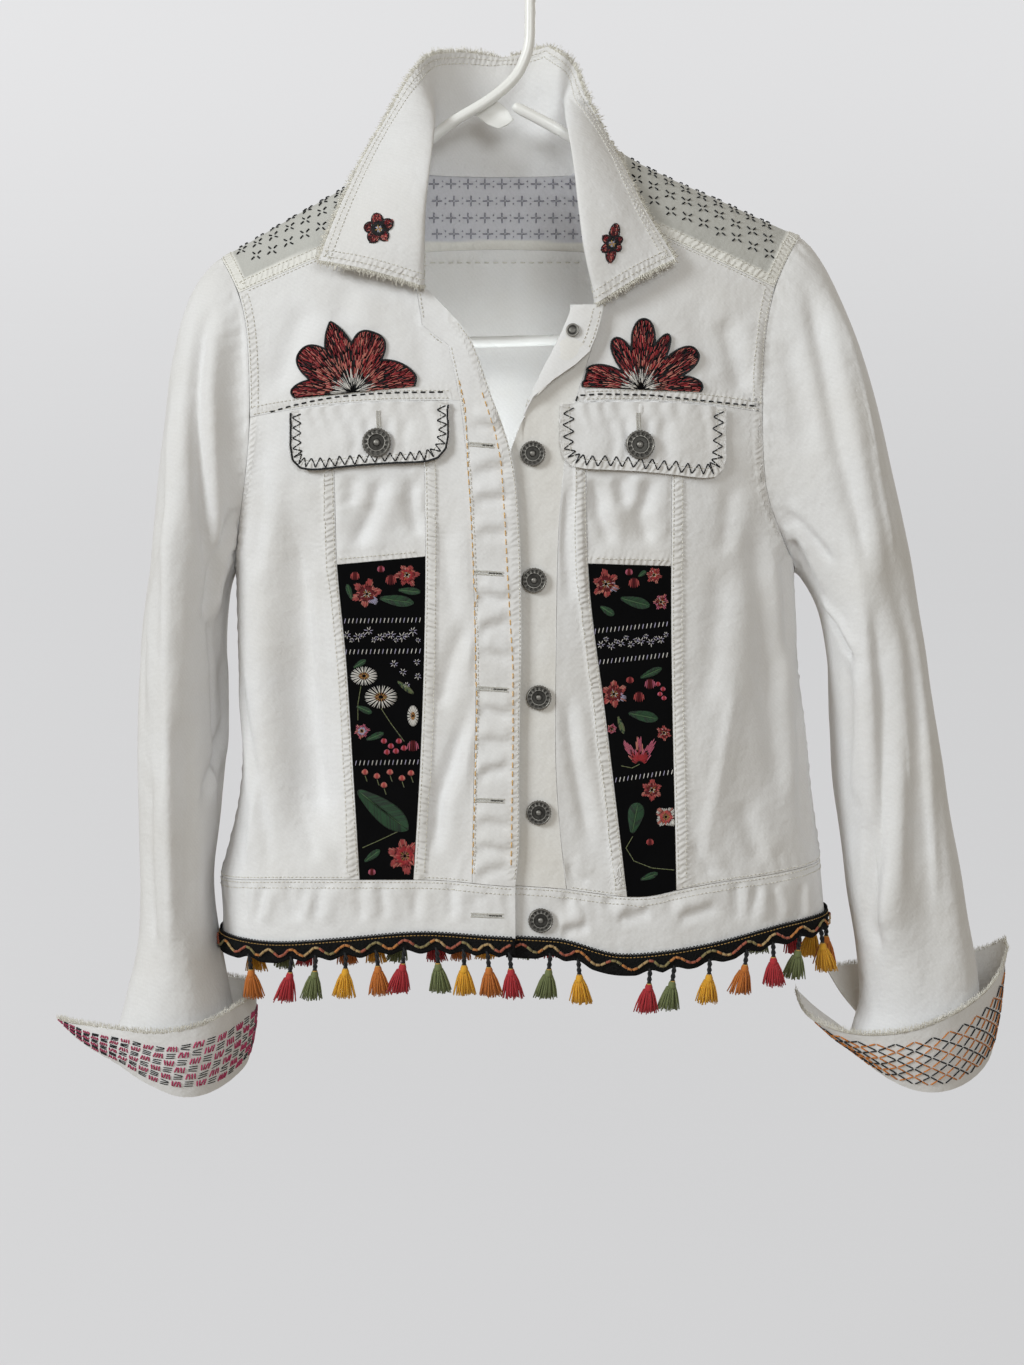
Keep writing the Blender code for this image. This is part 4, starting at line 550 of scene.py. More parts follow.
class CutPiece(Sheet):
    """A cut piece of the jacket: the outer face of its solid, made fine and round."""

    def __init__(self, node, rim=1.7, rounds=3, outer=away_from_body, hold=4.0):
        shell = bmesh.new()
        shell.from_mesh(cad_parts[node].data)
        bmesh.ops.remove_doubles(shell, verts=shell.verts, dist=1e-5)
        rims = [f for f in shell.faces if min(e.calc_length() for e in f.edges) < rim * MM]
        bmesh.ops.delete(shell, geom=rims, context="FACES_ONLY")
        sides, found = [], set()
        for face in shell.faces:
            if face not in found:
                side = [face]
                found.add(face)
                for current in side:
                    fresh = {other for edge in current.edges for other in edge.link_faces} - found
                    found |= fresh
                    side += fresh
                sides.append(side)
        keep = set(max(sides, key=lambda side: sum(
            f.calc_area() * outer(f.calc_center_median(), f.normal) for f in side)))
        bmesh.ops.delete(shell, geom=[f for f in shell.faces if f not in keep], context="FACES")
        bmesh.ops.delete(shell, geom=[v for v in shell.verts if not v.link_faces], context="VERTS")
        bmesh.ops.holes_fill(shell, edges=[e for e in shell.edges if e.is_boundary], sides=12)
        bmesh.ops.join_triangles(shell, faces=shell.faces, angle_face_threshold=math.radians(50),
                                 angle_shape_threshold=math.radians(60))
        corner = shell.verts.layers.float.new("crease_vert")
        for vertex in shell.verts:
            ends = [edge.other_vert(vertex).co - vertex.co for edge in vertex.link_edges if edge.is_boundary]
            if len(ends) == 2 and ends[0].angle(-ends[1], 0.0) > math.radians(28):
                vertex[corner] = 1.0
        mesh = bpy.data.meshes.new(f"{node}_cloth")
        shell.to_mesh(mesh)
        shell.free()
        cloth = place_in_scene(f"{node}_cloth", mesh)
        apply_modifier(cloth, "SUBSURF", levels=rounds, render_levels=rounds, boundary_smooth="PRESERVE_CORNERS")
        super().__init__(node, cloth, hold)


class Stitches:
    """The threads on one piece of cloth, all in one mesh, one material for each colour of thread."""

    def __init__(self, name, host, slot="white_denim"):
        self.name, self.host, self.slot = name, host, slot
        self.rows, self.materials = [], []

    def add(self, a, b, normal, radius, thread, sink=0.2):
        if thread not in self.materials:
            self.materials.append(thread)
        self.rows.append((*a, *b, *normal, radius, sink, self.materials.index(thread)))

    def on(self, a, b, radius, thread, sink=0.2):
        """A stitch between two places, each first brought down to the cloth."""
        near_a, near_b = (self.host.tree.find_nearest(Vector(place)) for place in (a, b))
        normal = unit(np.array(near_a[1]) + np.array(near_b[1]))
        self.add(np.array(near_a[0]), np.array(near_b[0]), normal, radius, thread, sink)

    def row(self, names, inset, thread, pitch=3.1, share=0.72, radius=0.36, skip=2.0):
        for a, b in self.host.along_edge(names, inset, pitch, skip):
            self.on(a, a + (b - a) * share, radius, thread)

    def path(self, picture_points, pitch, share, radius, thread):
        """Running stitches along a line of picture points."""
        line = np.array(self.host.line(*spread(picture_points, 6.0)))
        reach = reaches(line) / MM
        for start in np.arange(0, reach[-1] - pitch * share, pitch):
            self.on(at_reach(line, reach, start), at_reach(line, reach, start + pitch * share), radius, thread)

    def make(self):
        data = np.array(self.rows)
        a, b, normal = data[:, 0:3], data[:, 3:6], data[:, 6:9]
        radius, sink = data[:, 9:10] * MM, data[:, 10:11]
        way = unit(b - a)
        across = unit(np.cross(normal, way))
        up = np.cross(way, across)
        lift, quarter = up * radius * (1 - sink), (b - a) * 0.16
        rings = []
        for middle in (a + quarter + lift, b - quarter + lift):
            rings += [middle + across * radius - up * radius * 0.3, middle + up * radius,
                      middle - across * radius - up * radius * 0.3]
        points = np.stack([a - up * radius * 0.4] + rings + [b - up * radius * 0.4], axis=1)
        cell = []
        for i, j in ((0, 1), (1, 2), (2, 0)):
            cell += [(0, 1 + j, 1 + i), (7, 4 + i, 4 + j), (1 + i, 1 + j, 4 + j, 4 + i)]
        faces = [tuple(c + 8 * k for c in corner) for k in range(len(points)) for corner in cell]
        tints = np.repeat(data[:, 11].astype(int), len(cell))
        made = build(self.name, points.reshape(-1, 3), faces, self.materials, tints)
        made.data.polygons.foreach_set("use_smooth", [True] * len(faces))
        declare(made, self.slot)


def cotton(name, hex_code, sheen=0.1):
    """Thread: a twisted cotton with soft sheen, its twist drawn as fine bands: bumps, and painted shade that darkens
    their grooves and lightens their crests.
    """
    made, tree, shader, place = new_material(name, Roughness=0.8, Sheen_Weight=sheen)
    twist = add_node(tree, "ShaderNodeTexWave", {"bands_direction": "DIAGONAL"}, Vector=place, Scale=700.0,
                     Distortion=4.0, Detail=2.0).outputs["Fac"]
    shade = add_node(tree, "ShaderNodeMapRange", Value=twist, _1=0.0, _2=1.0, _3=0.78, _4=1.08)
    tone = add_node(tree, "ShaderNodeMix", {"data_type": "RGBA", "blend_type": "MULTIPLY"}, Factor=1.0,
                    _6=colour(hex_code), _7=shade.outputs[0])
    twisted = add_node(tree, "ShaderNodeBump", Height=twist, Distance=0.0001, Strength=0.5)
    feed(shader, Base_Color=tone.outputs[2], Normal=twisted.outputs[0])
    return made


cream_thread = cotton("cream_thread", "#EAE7DD")
orange_thread = cotton("orange_thread", "#F0C074")
black_thread = cotton("black_thread", "#0C0C0E", sheen=0.0)

# Side and centre front panels. Four denim pieces, joined by felled seams with two rows of cream stitches beside
# the flowered inserts, set in the yokes above and the waistband below.
side_right = CutPiece("front_side_right").drift(0.9, 70, 1).creases(
    ((318, 866), (310, 790), (299, 690), (294, 580), (290, 490), 17, 7.6, 0.25),
    ((329, 860), (325, 760), (320, 640), (314, 540), 6, 1.6, 0.2),
    ((268, 880), (262, 800), (250, 720), (244, 660), 5, 1.5, 0.5),
    ((296, 780), (303, 815), (316, 866), 5, 1.6, 0.5),
    ((336, 850), (340, 864), (346, 876), 3, 1.1, 0.4),
    ((262, 425), (262, 500), (254, 590), 8, 1.3, 0.4),
    ((318, 560), (326, 660), (332, 760), 11, 1.2, 0.4),
    ((285, 470), (290, 540), (300, 600), 9, 0.9, 0.5),
    ((248, 868), (252, 830), (262, 770), 4, -0.9, 0.2),
).gather("minus", 0.5, 10.0, 10.0).gather("bottom", 0.6, 12.0, 16.0).gather("top", 0.3, 11.0, 10.0)
side_right.band("minus", width=7.0, height=0.5, rope=0.8).band("plus")

side_left = CutPiece("front_side_left").drift(0.9, 75, 2).creases(
    ((752, 512), (759, 570), (765, 640), (770, 720), 10, 2.2, 0.5),
    ((781, 545), (785, 600), (789, 660), 6, 1.7, 0.5),
    ((768, 640), (772, 720), (782, 800), 9, 1.5, 0.4),
    ((736, 676), (724, 745), (700, 868), 3.6, -1.1, -0.5),
    ((722, 560), (716, 640), (704, 720), 9, 1.1, 0.5),
    ((742, 800), (750, 835), (762, 866), 7, 1.2, 0.5),
    ((695, 840), (702, 860), (716, 876), 4, 1.3, 0.5),
    ((796, 690), (800, 760), (806, 850), 6, 1.3, 0.4),
    ((731, 480), (728, 520), (722, 560), 7, 1.0, 0.4),
).gather("plus", 0.6, 9.0, 12.0).gather("bottom", 0.6, 12.0, 16.0).gather("top", 0.3, 11.0, 10.0)
side_left.band("plus", width=7.0, height=0.5, rope=0.8).band("minus")

centre_right = CutPiece("front_centre_right").creases(
    ((466, 622), (452, 660), (439, 712), 6, 1.8, 0.6),
    ((470, 705), (452, 762), (438, 800), (434, 862), 6, 2.2, 0.6),
    ((444, 520), (448, 580), (456, 620), 6, 1.0, 0.5),
).drift(0.5, 50, 3).gather("bottom", 0.5, 12.0, 16.0).band("minus")

centre_left = CutPiece("front_centre_left").creases(
    ((570, 480), (566, 540), (572, 610), 5, 1.1, 0.5),
    ((566, 690), (574, 760), (592, 850), 5, 1.5, 0.6),
    ((562, 860), (574, 876), (590, 884), 4, 1.2, 0.5),
).drift(0.5, 50, 4).gather("bottom", 0.5, 12.0, 16.0).band("plus")

for piece, inner, flat, area in (
    (side_right, "plus", (0.135, 0.352), 0.0367),
    (side_left, "minus", (0.140, 0.352), 0.0394),
    (centre_right, "minus", (0.052, 0.352), 0.0125),
    (centre_left, "plus", (0.050, 0.352), 0.0101),
):
    piece.stitched((inner, 1.5, 7.2), ("bottom", 1.6)).make()
    piece.sew(flat, area, rests_on=["hanger_tube"])

# Front yokes. The two denim pieces over the chest, edge-stitched along the shoulder and the armhole, and joined
# to the panels below by a felled seam that carries the flaps. A row of black running stitches follows the seam.
yokes = {}
for side, armhole, seed, area, creases, running in (
    ("right", "minus", 5, 0.01505,
     (((308, 300), (290, 345), (274, 396), 10, 1.7, 0.5), ((352, 282), (345, 300), (338, 325), 9, 1.0, 0.5),
      ((430, 300), (424, 340), (428, 392), 9, 0.8, 0.5)),
     ((270, 412), (293, 405.5), (313, 401), (336, 397), (369, 394), (401, 392.6), (451, 392))),
    ("left", "plus", 6, 0.0140,
     (((722, 315), (732, 352), (746, 398), 8, 1.8, 0.5), ((690, 300), (705, 340), (716, 380), 10, 0.9, 0.5),
      ((608, 320), (590, 350), (572, 395), 12, 0.9, 0.5)),
     ((559, 399), (570, 396.5), (600, 394), (650, 395), (706, 401), (755, 406))),
):
    piece = CutPiece(f"front_yoke_{side}").drift(0.8, 60, seed).creases(*creases)
    piece.band("bottom", width=7.4, height=0.4, pucker=0.22).band(armhole, width=7.4, height=0.4, pucker=0.25)
    threads = piece.gather("top", 0.25, 9.0, 8.0).stitched(
        ("bottom", 1.5), (armhole, 1.5), ("bottom", 6.6), (armhole, 6.6), ("top", 1.5))
    threads.path(running, 6.2, 0.7, 0.6, black_thread)
    threads.make()
    piece.sew((0.165, 0.145), area, rests_on=["hanger_tube"])
    yokes[side] = piece

# Pocket panels and flaps. Puckered denim under each flap, and the buttoned flap with a topstitched edge, its
# zigzag of black thread and, on the right one, a black cord along the edge.
for node, flat, area, seed, puckers in (
    ("pocket_panel_right", (0.068, 0.119), 0.0073, 7,
     (((383, 474), (373, 510), (352, 550)), ((414, 474), (411, 505), (420, 540)), ((354, 474), (350, 508)))),
    ("pocket_panel_left", (0.067, 0.119), 0.0071, 8,
     (((590, 474), (600, 512), (613, 550)), ((652, 474), (641, 515), (652, 548)), ((622, 474), (625, 508)))),
):
    piece = CutPiece(node).creases(*((*path, 5.5, 1.8, 0.5) for path in puckers))
    piece.gather("minus", 0.6, 8.0, 10.0).gather("plus", 0.6, 8.5, 10.0).gather("top", 1.5, 12.0, 34.0, lean=0.1)
    piece.drift(2.6, 22, seed).band("bottom", width=5.0, height=0.4, pucker=0.2)
    piece.stitched(("bottom", 3.6)).make()
    piece.sew(flat, area)

# Painted shade for buttonhole slits: a dark thread for the shadow in the open part, a paler grey one for the shade line
# of the closed part.
slit_shadow = cotton("slit_shadow", "#55514A")
closed_slit_shade = cotton("closed_slit_shade", "#DAD7CE")
buttonhole_thread = cotton("buttonhole_thread", "#EFEDE7")


def work_buttonhole(threads, u0, v0, u1, v1, open_from=0.55):
    """A worked buttonhole: two rows of cross stitches that part at one end. Painted shade: a dark thread for the shadow
    in the open slit, a paler grey one for the shade of the closed slit.
    """
    length = math.hypot(u1 - u0, v1 - v0)
    du, dv = (u1 - u0) / length, (v1 - v0) / length
    for step in np.arange(0, length, 1.0):
        for hand in (-1, 1):
            foot, tip = threads.host.line(*((u0 + du * step - dv * hand * far, v0 + dv * step + du * hand * far)
                                            for far in (0.4, 2.6)))
            threads.on(foot, tip, 0.32, buttonhole_thread, sink=-0.1)
    for low, high, tone, radius in ((0.0, open_from, closed_slit_shade, 0.2), (open_from, 0.97, slit_shadow, 0.5)):
        line = threads.host.line(*spread([(u0 + (u1 - u0) * share, v0 + (v1 - v0) * share)
                                          for share in (low, high)], 3.0))
        for a, b in zip(line, line[1:]):
            threads.on(a, b, radius, tone, sink=-0.1)


for side, flat, area, seed, inset, tall, pitch, (u, v) in (
    ("right", (0.116, 0.053), 0.0049, 9, 1.4, 7.2, 7.0, (378, 411)),
    ("left", (0.120, 0.053), 0.00577, 10, 2.0, 8.0, 8.4, (638, 413)),
):
    piece = CutPiece(f"pocket_flap_{side}", hold=0)
    top = piece.lines["top"][0][0] / MM
    foot = max(piece.lines["bottom"], key=lambda entry: len(entry[0]))[0]
    piece.name_edge("free", top[0], top[-1], foot[len(foot) // 2] / MM)
    piece.drift(1.4, 24, seed).gather("free", 0.35, 8.0, 9.0).gather("top", 0.8, 13.0, 22.0)
    for aside, width, depth in ((-12, 3.5, 0.8), (11, 3.2, 0.7), (-27, 4.0, 0.5), (30, 4.5, 0.6)):
        piece.creases(((u + aside, 414), (u + aside * 0.8, 440), (u + aside * 1.1, 466), width, depth, 0.5))
    threads = piece.band("free", width=6.5, height=0.3, pucker=0.16).stitched()
    threads.row("free", 6.5, cream_thread, radius=0.3)
    at, out, run = piece.lines["free"][0]

    def on_edge(share, deep):
        place, away = (at_reach(line, run / run[-1], share) for line in (at, out))
        return place - unit(away) * deep * MM

    teeth = int(run[-1] / MM / pitch)
    wander = np.random.default_rng(seed)
    tips = []
    for tooth in range(teeth):
        for half, deep in ((0.0, inset), (0.5, inset + tall)):
            share = (tooth + half + 0.25 + wander.uniform(-0.06, 0.06)) / teeth
            tips.append(on_edge(share, deep + wander.uniform(-0.5, 0.5)))
    for a, b in zip(tips, tips[1:]):
        middle = (a + b) / 2
        threads.on(a, middle, 0.46, black_thread)
        threads.on(middle - (b - a) * 0.05, b, 0.46, black_thread)
    if side == "right":
        shares = np.linspace(0.01, 0.99, 70)
        for first, last in zip(shares, shares[1:]):
            threads.on(on_edge(first, 0.5), on_edge(last + 0.004, 0.5), 0.75, black_thread)
    work_buttonhole(threads, u, v, u + 1, v + 21, open_from=0.9)
    threads.make()
    piece.sew(flat, area)

# Half flowers. Two big half flowers cut from black cloth and sewn to the yokes over the flaps: their petals are
# filled with strokes of red and salmon thread that run out from the heart, and edged with a black cord.
# Black cotton: deep and matt, with a coarse weave that just shows.
black_cloth = denim("black_cotton", "#060607", "#0C0C0D", sheen=0.0, shine=0.06, weave=3.0)
deep_red = cotton("deep_red_thread", "#720D19", sheen=0.0)
crimson = cotton("crimson_thread", "#B01C28", sheen=0.1)
salmon = cotton("salmon_thread", "#DB8474", sheen=0.2)
coral = cotton("coral_thread", "#C64543", sheen=0.2)
white_thread = cotton("white_thread", "#ECE9E4", sheen=0.2)
gold_thread = cotton("gold_thread", "#C99B45", sheen=0.2)
FORWARD = np.array((0, -1.0, 0))  # out of the picture

for word, heart, tilt, petals in (
    ("right", (353, 392.5), 5.7,
     ((8, 66, 36, 1.3), (65, 64, 23, 3.4), (102, 75, 17, 1.1), (136, 67, 23, 2.4), (174, 62, 19, 1.6))),
    ("left", (641, 389.5), -2.4,
     ((171, 61, 25, 2.2), (120, 58, 15, 2.0), (90, 71, 15, 2.2), (66, 62, 11, 1.8), (37, 68, 16, 2.6),
      (5, 62, 17, 1.8))),
):
    def reach(degrees):
        """The rim of the flower in picture points: the longest of its petals in that direction."""
        return max(26.0, *(length * (1 - 0.36 * min(abs(degrees - way) / half, 1.6) ** power)
                           for way, length, half, power in petals))

    def place(degrees, distance):
        angle = math.radians(degrees + tilt)
        return yokes[word].seen(heart[0] + distance * math.cos(angle), heart[1] - distance * math.sin(angle))[0]

    rim = [reach(degrees) for degrees in range(181)]
    notches = [degrees for degrees in range(2, 179) if rim[degrees] < min(rim[degrees - 2], rim[degrees + 2])]
    spokes = np.linspace(0, 180, 73)
    points = [place(degrees, ring * reach(degrees)) + FORWARD * 1.25 * MM
              for ring in (0.0, 0.25, 0.5, 0.75, 1.0) for degrees in spokes]
    count = len(spokes)
    faces = [(a, a + 1, a + 1 + count, a + count) for r in range(4) for a in range(r * count, (r + 1) * count - 1)]
    flower = build(f"half_flower_{word}", points, faces)
    clean(flower, merge=0.00002, outward=False)
    if sum(face.normal.y for face in flower.data.polygons) > 0:
        flower.data.flip_normals()
    cloth = Sheet(f"flower_{word}", flower)
    threads = Stitches(f"half_flower_{word}_threads", cloth, slot="red_embroidery")
    chance = np.random.default_rng(31)
    tints = (deep_red, crimson, salmon, coral, black_thread)
    for turn, degrees in enumerate(np.arange(0.6, 179.6, 0.8)):
        far = reach(degrees)
        fold = math.exp(-(min(abs(degrees - notch) for notch in notches) / 2.6) ** 2)
        start = 9.0 + chance.uniform(0, 4)
        while start < far - 3:
            crowded = start * math.radians(0.8) * 0.72 < 0.42
            if crowded and turn % (4 if start < 22 else 2):
                start += 6
                continue
            stop = min(start + chance.uniform(5, 10), far - 1.2)
            dark = 0.26 + 0.5 * fold + 0.25 * math.sin(degrees * 0.9) ** 2
            weights = np.array((0.36, 0.28, 0.7 if start / far < 0.55 else 0.2, 0.16, dark))
            thread = tints[chance.choice(5, p=weights / weights.sum())]
            a, b = place(degrees + chance.uniform(-1.6, 1.6), start), place(degrees, stop)
            threads.on(a + FORWARD * 1.3 * MM, b + FORWARD * 1.3 * MM, 0.30, thread, sink=0.3)
            start = stop + chance.uniform(-1.5, 1.0)
    for degrees in np.arange(3, 178, 1.9):
        a = place(degrees, 3 + chance.uniform(0, 8))
        b = place(degrees + chance.uniform(-3, 3), 13 + chance.uniform(0, 13))
        threads.add(a + FORWARD * 1.7 * MM, b + FORWARD * 1.7 * MM, FORWARD, 0.28,
                    (white_thread, black_thread)[int(degrees * 7) % 2], 0.0)
    edge = [place(degrees, reach(degrees) - 0.8) for degrees in np.arange(0, 180.5, 1.5)]
    for a, b in zip(edge, edge[1:]):
        if np.linalg.norm(b - a) > 1e-6:
            threads.on(a, b + (b - a) * 0.3, 0.75, black_thread)
    threads.make()
    cloth.sew((0.090, 0.053), 0.0031, slot="red_embroidery", outside=black_cloth, inside=black_cloth, thickness=0.7,
              rests_on=[f"front_yoke_{word}_cloth"])

# Flowered inserts. Black cotton panels let into the fronts, worked in narrow bands: flowers and leaves between rows
# of slanting ticks and little stars, all in satin stitch that stands a thread above the cloth.
lilac_thread = cotton("lilac_thread", "#B9B4D4", sheen=0.2)
pink_thread = cotton("pink_thread", "#D0607E", sheen=0.2)
green_thread = cotton("green_thread", "#1B4F28", sheen=0.1)
amber_thread = cotton("amber_thread", "#A8601F", sheen=0.2)
dark_green = cotton("dark_green_thread", "#102C17", sheen=0.1)
pale_green = cotton("pale_green_thread", "#5C8453", sheen=0.1)
olive_thread = cotton("olive_thread", "#6B7340", sheen=0.2)
THREAD = 0.33


class Embroidery(Stitches):
    """Motifs in satin stitch, placed by points of the picture."""

    def __init__(self, name, host):
        super().__init__(name, host, slot="red_embroidery")
        self.chance = np.random.default_rng(12)
        self.longest, self.sink = 40.0, 0.1

    def sew_line(self, u0, v0, u1, v1, thread, radius=THREAD):
        places = [self.host.seen(u, v) for u, v in spread([(u0, v0), (u1, v1)], self.longest)]
        for a, b in zip(places, places[1:]):
            self.add(a[0], b[0], unit(a[1] + b[1]), radius, thread, self.sink)

    def spoke(self, u, v, degrees, near, far, thread, radius, tall=1.0, turn=0):
        """A stitch out from a heart. Tall says how high the motif is for its width, turn slants the stitch."""
        a, b = math.radians(degrees), math.radians(degrees + turn)
        self.sew_line(u + math.cos(a) * near, v - math.sin(a) * near * tall, u + math.cos(b) * far,
                      v - math.sin(b) * far * tall, thread, radius)

    def compass(self, degrees):
        """The way of a petal in picture points, and the way across it."""
        way = np.array((math.cos(math.radians(degrees)), -math.sin(math.radians(degrees))))
        return way, np.array((-way[1], way[0]))

    def petal(self, u, v, degrees, start, stop, width, outer, inner, radius=0.34):
        """A petal of loose side-by-side threads, darker at the heart end, with a paler one here and there."""
        way, across = self.compass(degrees)
        rows = max(int(width / 1.25), 3)
        for i in range(rows):
            share = (i + 0.5) / rows * 2 - 1
            length = start + (stop - start) * math.sqrt(max(1 - share * share, 0.15)) * self.chance.uniform(0.86, 1.04)
            middle = start + (length - start) * self.chance.uniform(0.3, 0.55)
            paler = salmon if outer not in (salmon, deep_red) else crimson
            tip = outer if self.chance.random() < 0.75 else paler
            for low, high, thread, narrow in ((start, middle, inner, 0.55), (middle - 0.3, length, tip, 0.85)):
                a = np.array((u, v)) + way * low + across * share * width / 2 * narrow
                b = np.array((u, v)) + way * high + across * share * width / 2
                self.sew_line(*a, *b, thread, radius)

    def rim(self, u, v, degrees, start, stop, width, thread):
        """A dark thread round a petal."""
        way, across = self.compass(degrees)
        places = [np.array((u, v)) + way * ((start + stop) / 2 + (stop - start) / 2 * math.cos(angle))
                  + across * width / 2 * math.sin(angle) for angle in np.linspace(-2.6, 2.6, 15)]
        for a, b in zip(places, places[1:]):
            self.sew_line(*a, *(b + (b - a) * 0.2), thread, 0.42)

    def flower(self, u, v, size, petals=6, turn=90.0, outer=None, inner=None, heart=None, odd=None):
        for i in range(petals):
            first = odd if (odd and i == petals - 2) else (outer or coral)
            self.petal(u, v, turn + 360 / petals * i + self.chance.uniform(-5, 5), size * 0.2,
                       size * self.chance.uniform(0.88, 1.06), size * 3.4 / petals + 1.0, first, inner or deep_red)
        for i in range(11):
            self.spoke(u, v, 33 * i + 10, 1.0, size * self.chance.uniform(0.3, 0.62),
                       (heart or white_thread, gold_thread, salmon)[i % 3], 0.26)

    def daisy(self, u, v, wide, tall):
        for i in range(18):
            for turn in (-4, 4):
                self.spoke(u, v, 20 * i, wide * 0.3, wide, white_thread, 0.3, tall / wide, turn)
        for i in range(13):
            self.spoke(u, v, 27.7 * i, wide * 0.12, wide * 0.4, (gold_thread, amber_thread)[i % 2], 0.3, tall / wide)

    def leaf(self, u0, v0, u1, v1, width, side=None):
        length = math.hypot(u1 - u0, v1 - v0)
        way = np.array(((u1 - u0) / length, (v1 - v0) / length))
        across = np.array((-way[1], way[0]))
        for far in np.arange(0.8, length - 0.5, 1.15):
            half = width / 2 * math.sin(math.pi * min(far / length * 0.94 + 0.06, 1.0)) ** 0.8
            foot = np.array((u0, v0)) + way * far
            for hand in (-1, 1):
                tip = foot + across * hand * half + way * half * 0.9
                self.sew_line(*foot, *tip, (side or green_thread) if self.chance.random() < 0.7 else dark_green, 0.3)
        self.sew_line(u0, v0, u1, v1, pale_green, 0.26)

    def stem(self, *places):
        line = spread(places, 4.0)
        for (u0, v0), (u1, v1) in zip(line, line[1:]):
            self.sew_line(u0, v0, u1 + (u1 - u0) * 0.2, v1 + (v1 - v0) * 0.2, olive_thread, 0.3)

    def bud(self, u, v, size, outer=None, inner=None):
        for i in range(7):
            share = (i + 0.5) / 7 * 2 - 1
            half = size * math.sqrt(max(1 - share * share, 0.05))
            thread = (inner or deep_red) if abs(share) < 0.3 else (outer or coral)
            self.sew_line(u + share * size, v + half, u + share * size * 0.8, v - half, thread)

    def star(self, u, v, size):
        for i in range(7):
            degrees = 51.4 * i + 18 + self.chance.uniform(-8, 8)
            self.spoke(u, v, degrees, 0.9, size * self.chance.uniform(0.8, 1.25),
                       white_thread if i % 3 else lilac_thread, 0.26)

    def ticks(self, u0, v0, u1, v1):
        count = int((u1 - u0) / 3.9)
        for i in range(0, count + 1):
            u, v = u0 + (u1 - u0) * i / count, v0 + (v1 - v0) * i / count
            self.sew_line(u - 0.7, v + 2.9, u + 0.7, v - 2.9, white_thread if i % 3 else lilac_thread, 0.3)


inserts = [CutPiece(node).drift(0.5, 30, 11).gather("minus plus", 0.25, 8.0, 6.0).settle()
           for node in ("floral_insert_right", "floral_insert_left")]

work = Embroidery("floral_insert_right_embroidery", inserts[0])
work.flower(367, 594, 16, odd=lilac_thread, turn=80)
work.flower(407, 575, 13, turn=60, inner=crimson)
work.bud(355, 576, 5)
work.bud(391, 580, 6)
work.bud(381, 569, 4, outer=pink_thread)
for leaf in ((379, 598, 414, 603, 12), (352, 600, 347, 584, 6), (398, 590, 421, 592, 8)):
    work.leaf(*leaf)
work.ticks(345, 621, 420, 620)
for i, u in enumerate((347, 358, 369, 380, 391, 402, 413)):
    work.star(u, 633 + 4 * (i % 2) + 2 * math.sin(u), 4.6)
    work.star(u + 5, 640 - 5 * (i % 2), 2.6)
work.ticks(346, 652, 420, 651)
for daisy in ((364, 676, 14, 10), (381, 697, 17, 12), (413, 716, 6, 11)):
    work.daisy(*daisy)
work.leaf(353, 668, 366, 660, 6)
work.leaf(356, 706, 372, 713, 7)
work.leaf(397, 681, 414, 694, 6, side=olive_thread)
for u, v in ((394, 664), (403, 672), (417, 662), (407, 685), (418, 676)):
    work.star(u, v, 3.6)
work.stem((381, 708), (390, 722), (404, 741))
work.stem((361, 686), (358, 704), (358, 720))
work.flower(362, 731, 8.5, turn=70, outer=pink_thread, inner=lilac_thread, heart=gold_thread)
work.leaf(366, 740, 384, 733, 7)
for u, v in ((384, 741), (391, 746), (399, 741), (396, 751), (387, 752), (404, 748)):
    work.bud(u, v, 3.2, outer=pink_thread, inner=crimson)
work.bud(413, 746, 6.5, outer=pink_thread)
work.ticks(356, 763, 418, 762)
for u, v in ((365, 772), (377, 776), (390, 772), (402, 778), (411, 773), (384, 785)):
    work.bud(u, v, 3.4, outer=salmon, inner=coral)
    work.stem((u, v + 3), (u + 2, v + 9))
work.leaf(357, 790, 408, 830, 25)
work.stem((362, 848), (378, 841), (397, 832))
work.leaf(364, 862, 380, 850, 8)
work.flower(405, 856, 19, turn=100, inner=crimson, heart=salmon)
work.bud(372, 872, 4, outer=pink_thread)
work.make()
inserts[0].sew((0.066, 0.240), 0.01195, slot="black_cloth", outside=black_cloth, inside=black_cloth)

work = Embroidery("floral_insert_left_embroidery", inserts[1])
work.flower(606, 584, 15.5, odd=lilac_thread, turn=100)
work.flower(654, 575, 9, turn=50, inner=crimson)
work.flower(661, 602, 9, turn=120, outer=pink_thread)
work.leaf(620, 598, 650, 606, 12)
work.leaf(600, 606, 614, 615, 8)
work.bud(634, 583, 6)
work.bud(629, 572, 4, outer=pink_thread)
work.leaf(638, 577, 646, 571, 5)
work.ticks(595, 631, 667, 624)
for i, u in enumerate((601, 611, 621, 631, 641, 651, 661)):
    work.star(u, 645 - i * 0.9 + 2 * (i % 2), 4.0)
    work.star(u + 5, 639 - i * 0.7 + 3 * (i % 2), 2.6)
work.ticks(600, 662, 667, 655)
work.leaf(640, 678, 662, 668, 8)
work.flower(614, 694, 15, turn=95, odd=lilac_thread)
work.bud(639, 697, 6)
work.bud(650, 684, 6, outer=pink_thread)
work.bud(630, 680, 4)
for u, v in ((658, 684), (663, 689), (660, 694), (664, 698)):
    work.bud(u, v, 2.6, outer=pink_thread, inner=crimson)
work.leaf(628, 713, 658, 719, 12)
work.leaf(618, 716, 624, 734, 6, side=olive_thread)
work.flower(664, 733, 8)
work.flower(612, 729, 5.5, turn=80, outer=pink_thread)
for turn in (60, 92, 124):
    work.petal(640, 765, turn, 3, 31, 10, pink_thread, crimson)
work.stem((640, 764), (632, 768), (622, 766))
work.ticks(616, 780, 672, 772)
work.flower(652, 790, 12)
work.leaf(632, 834, 638, 803, 17)
work.stem((633, 836), (626, 848), (634, 861), (652, 868), (674, 870))
work.flower(666, 817, 13, petals=4, turn=45, outer=white_thread, inner=coral, heart=gold_thread)
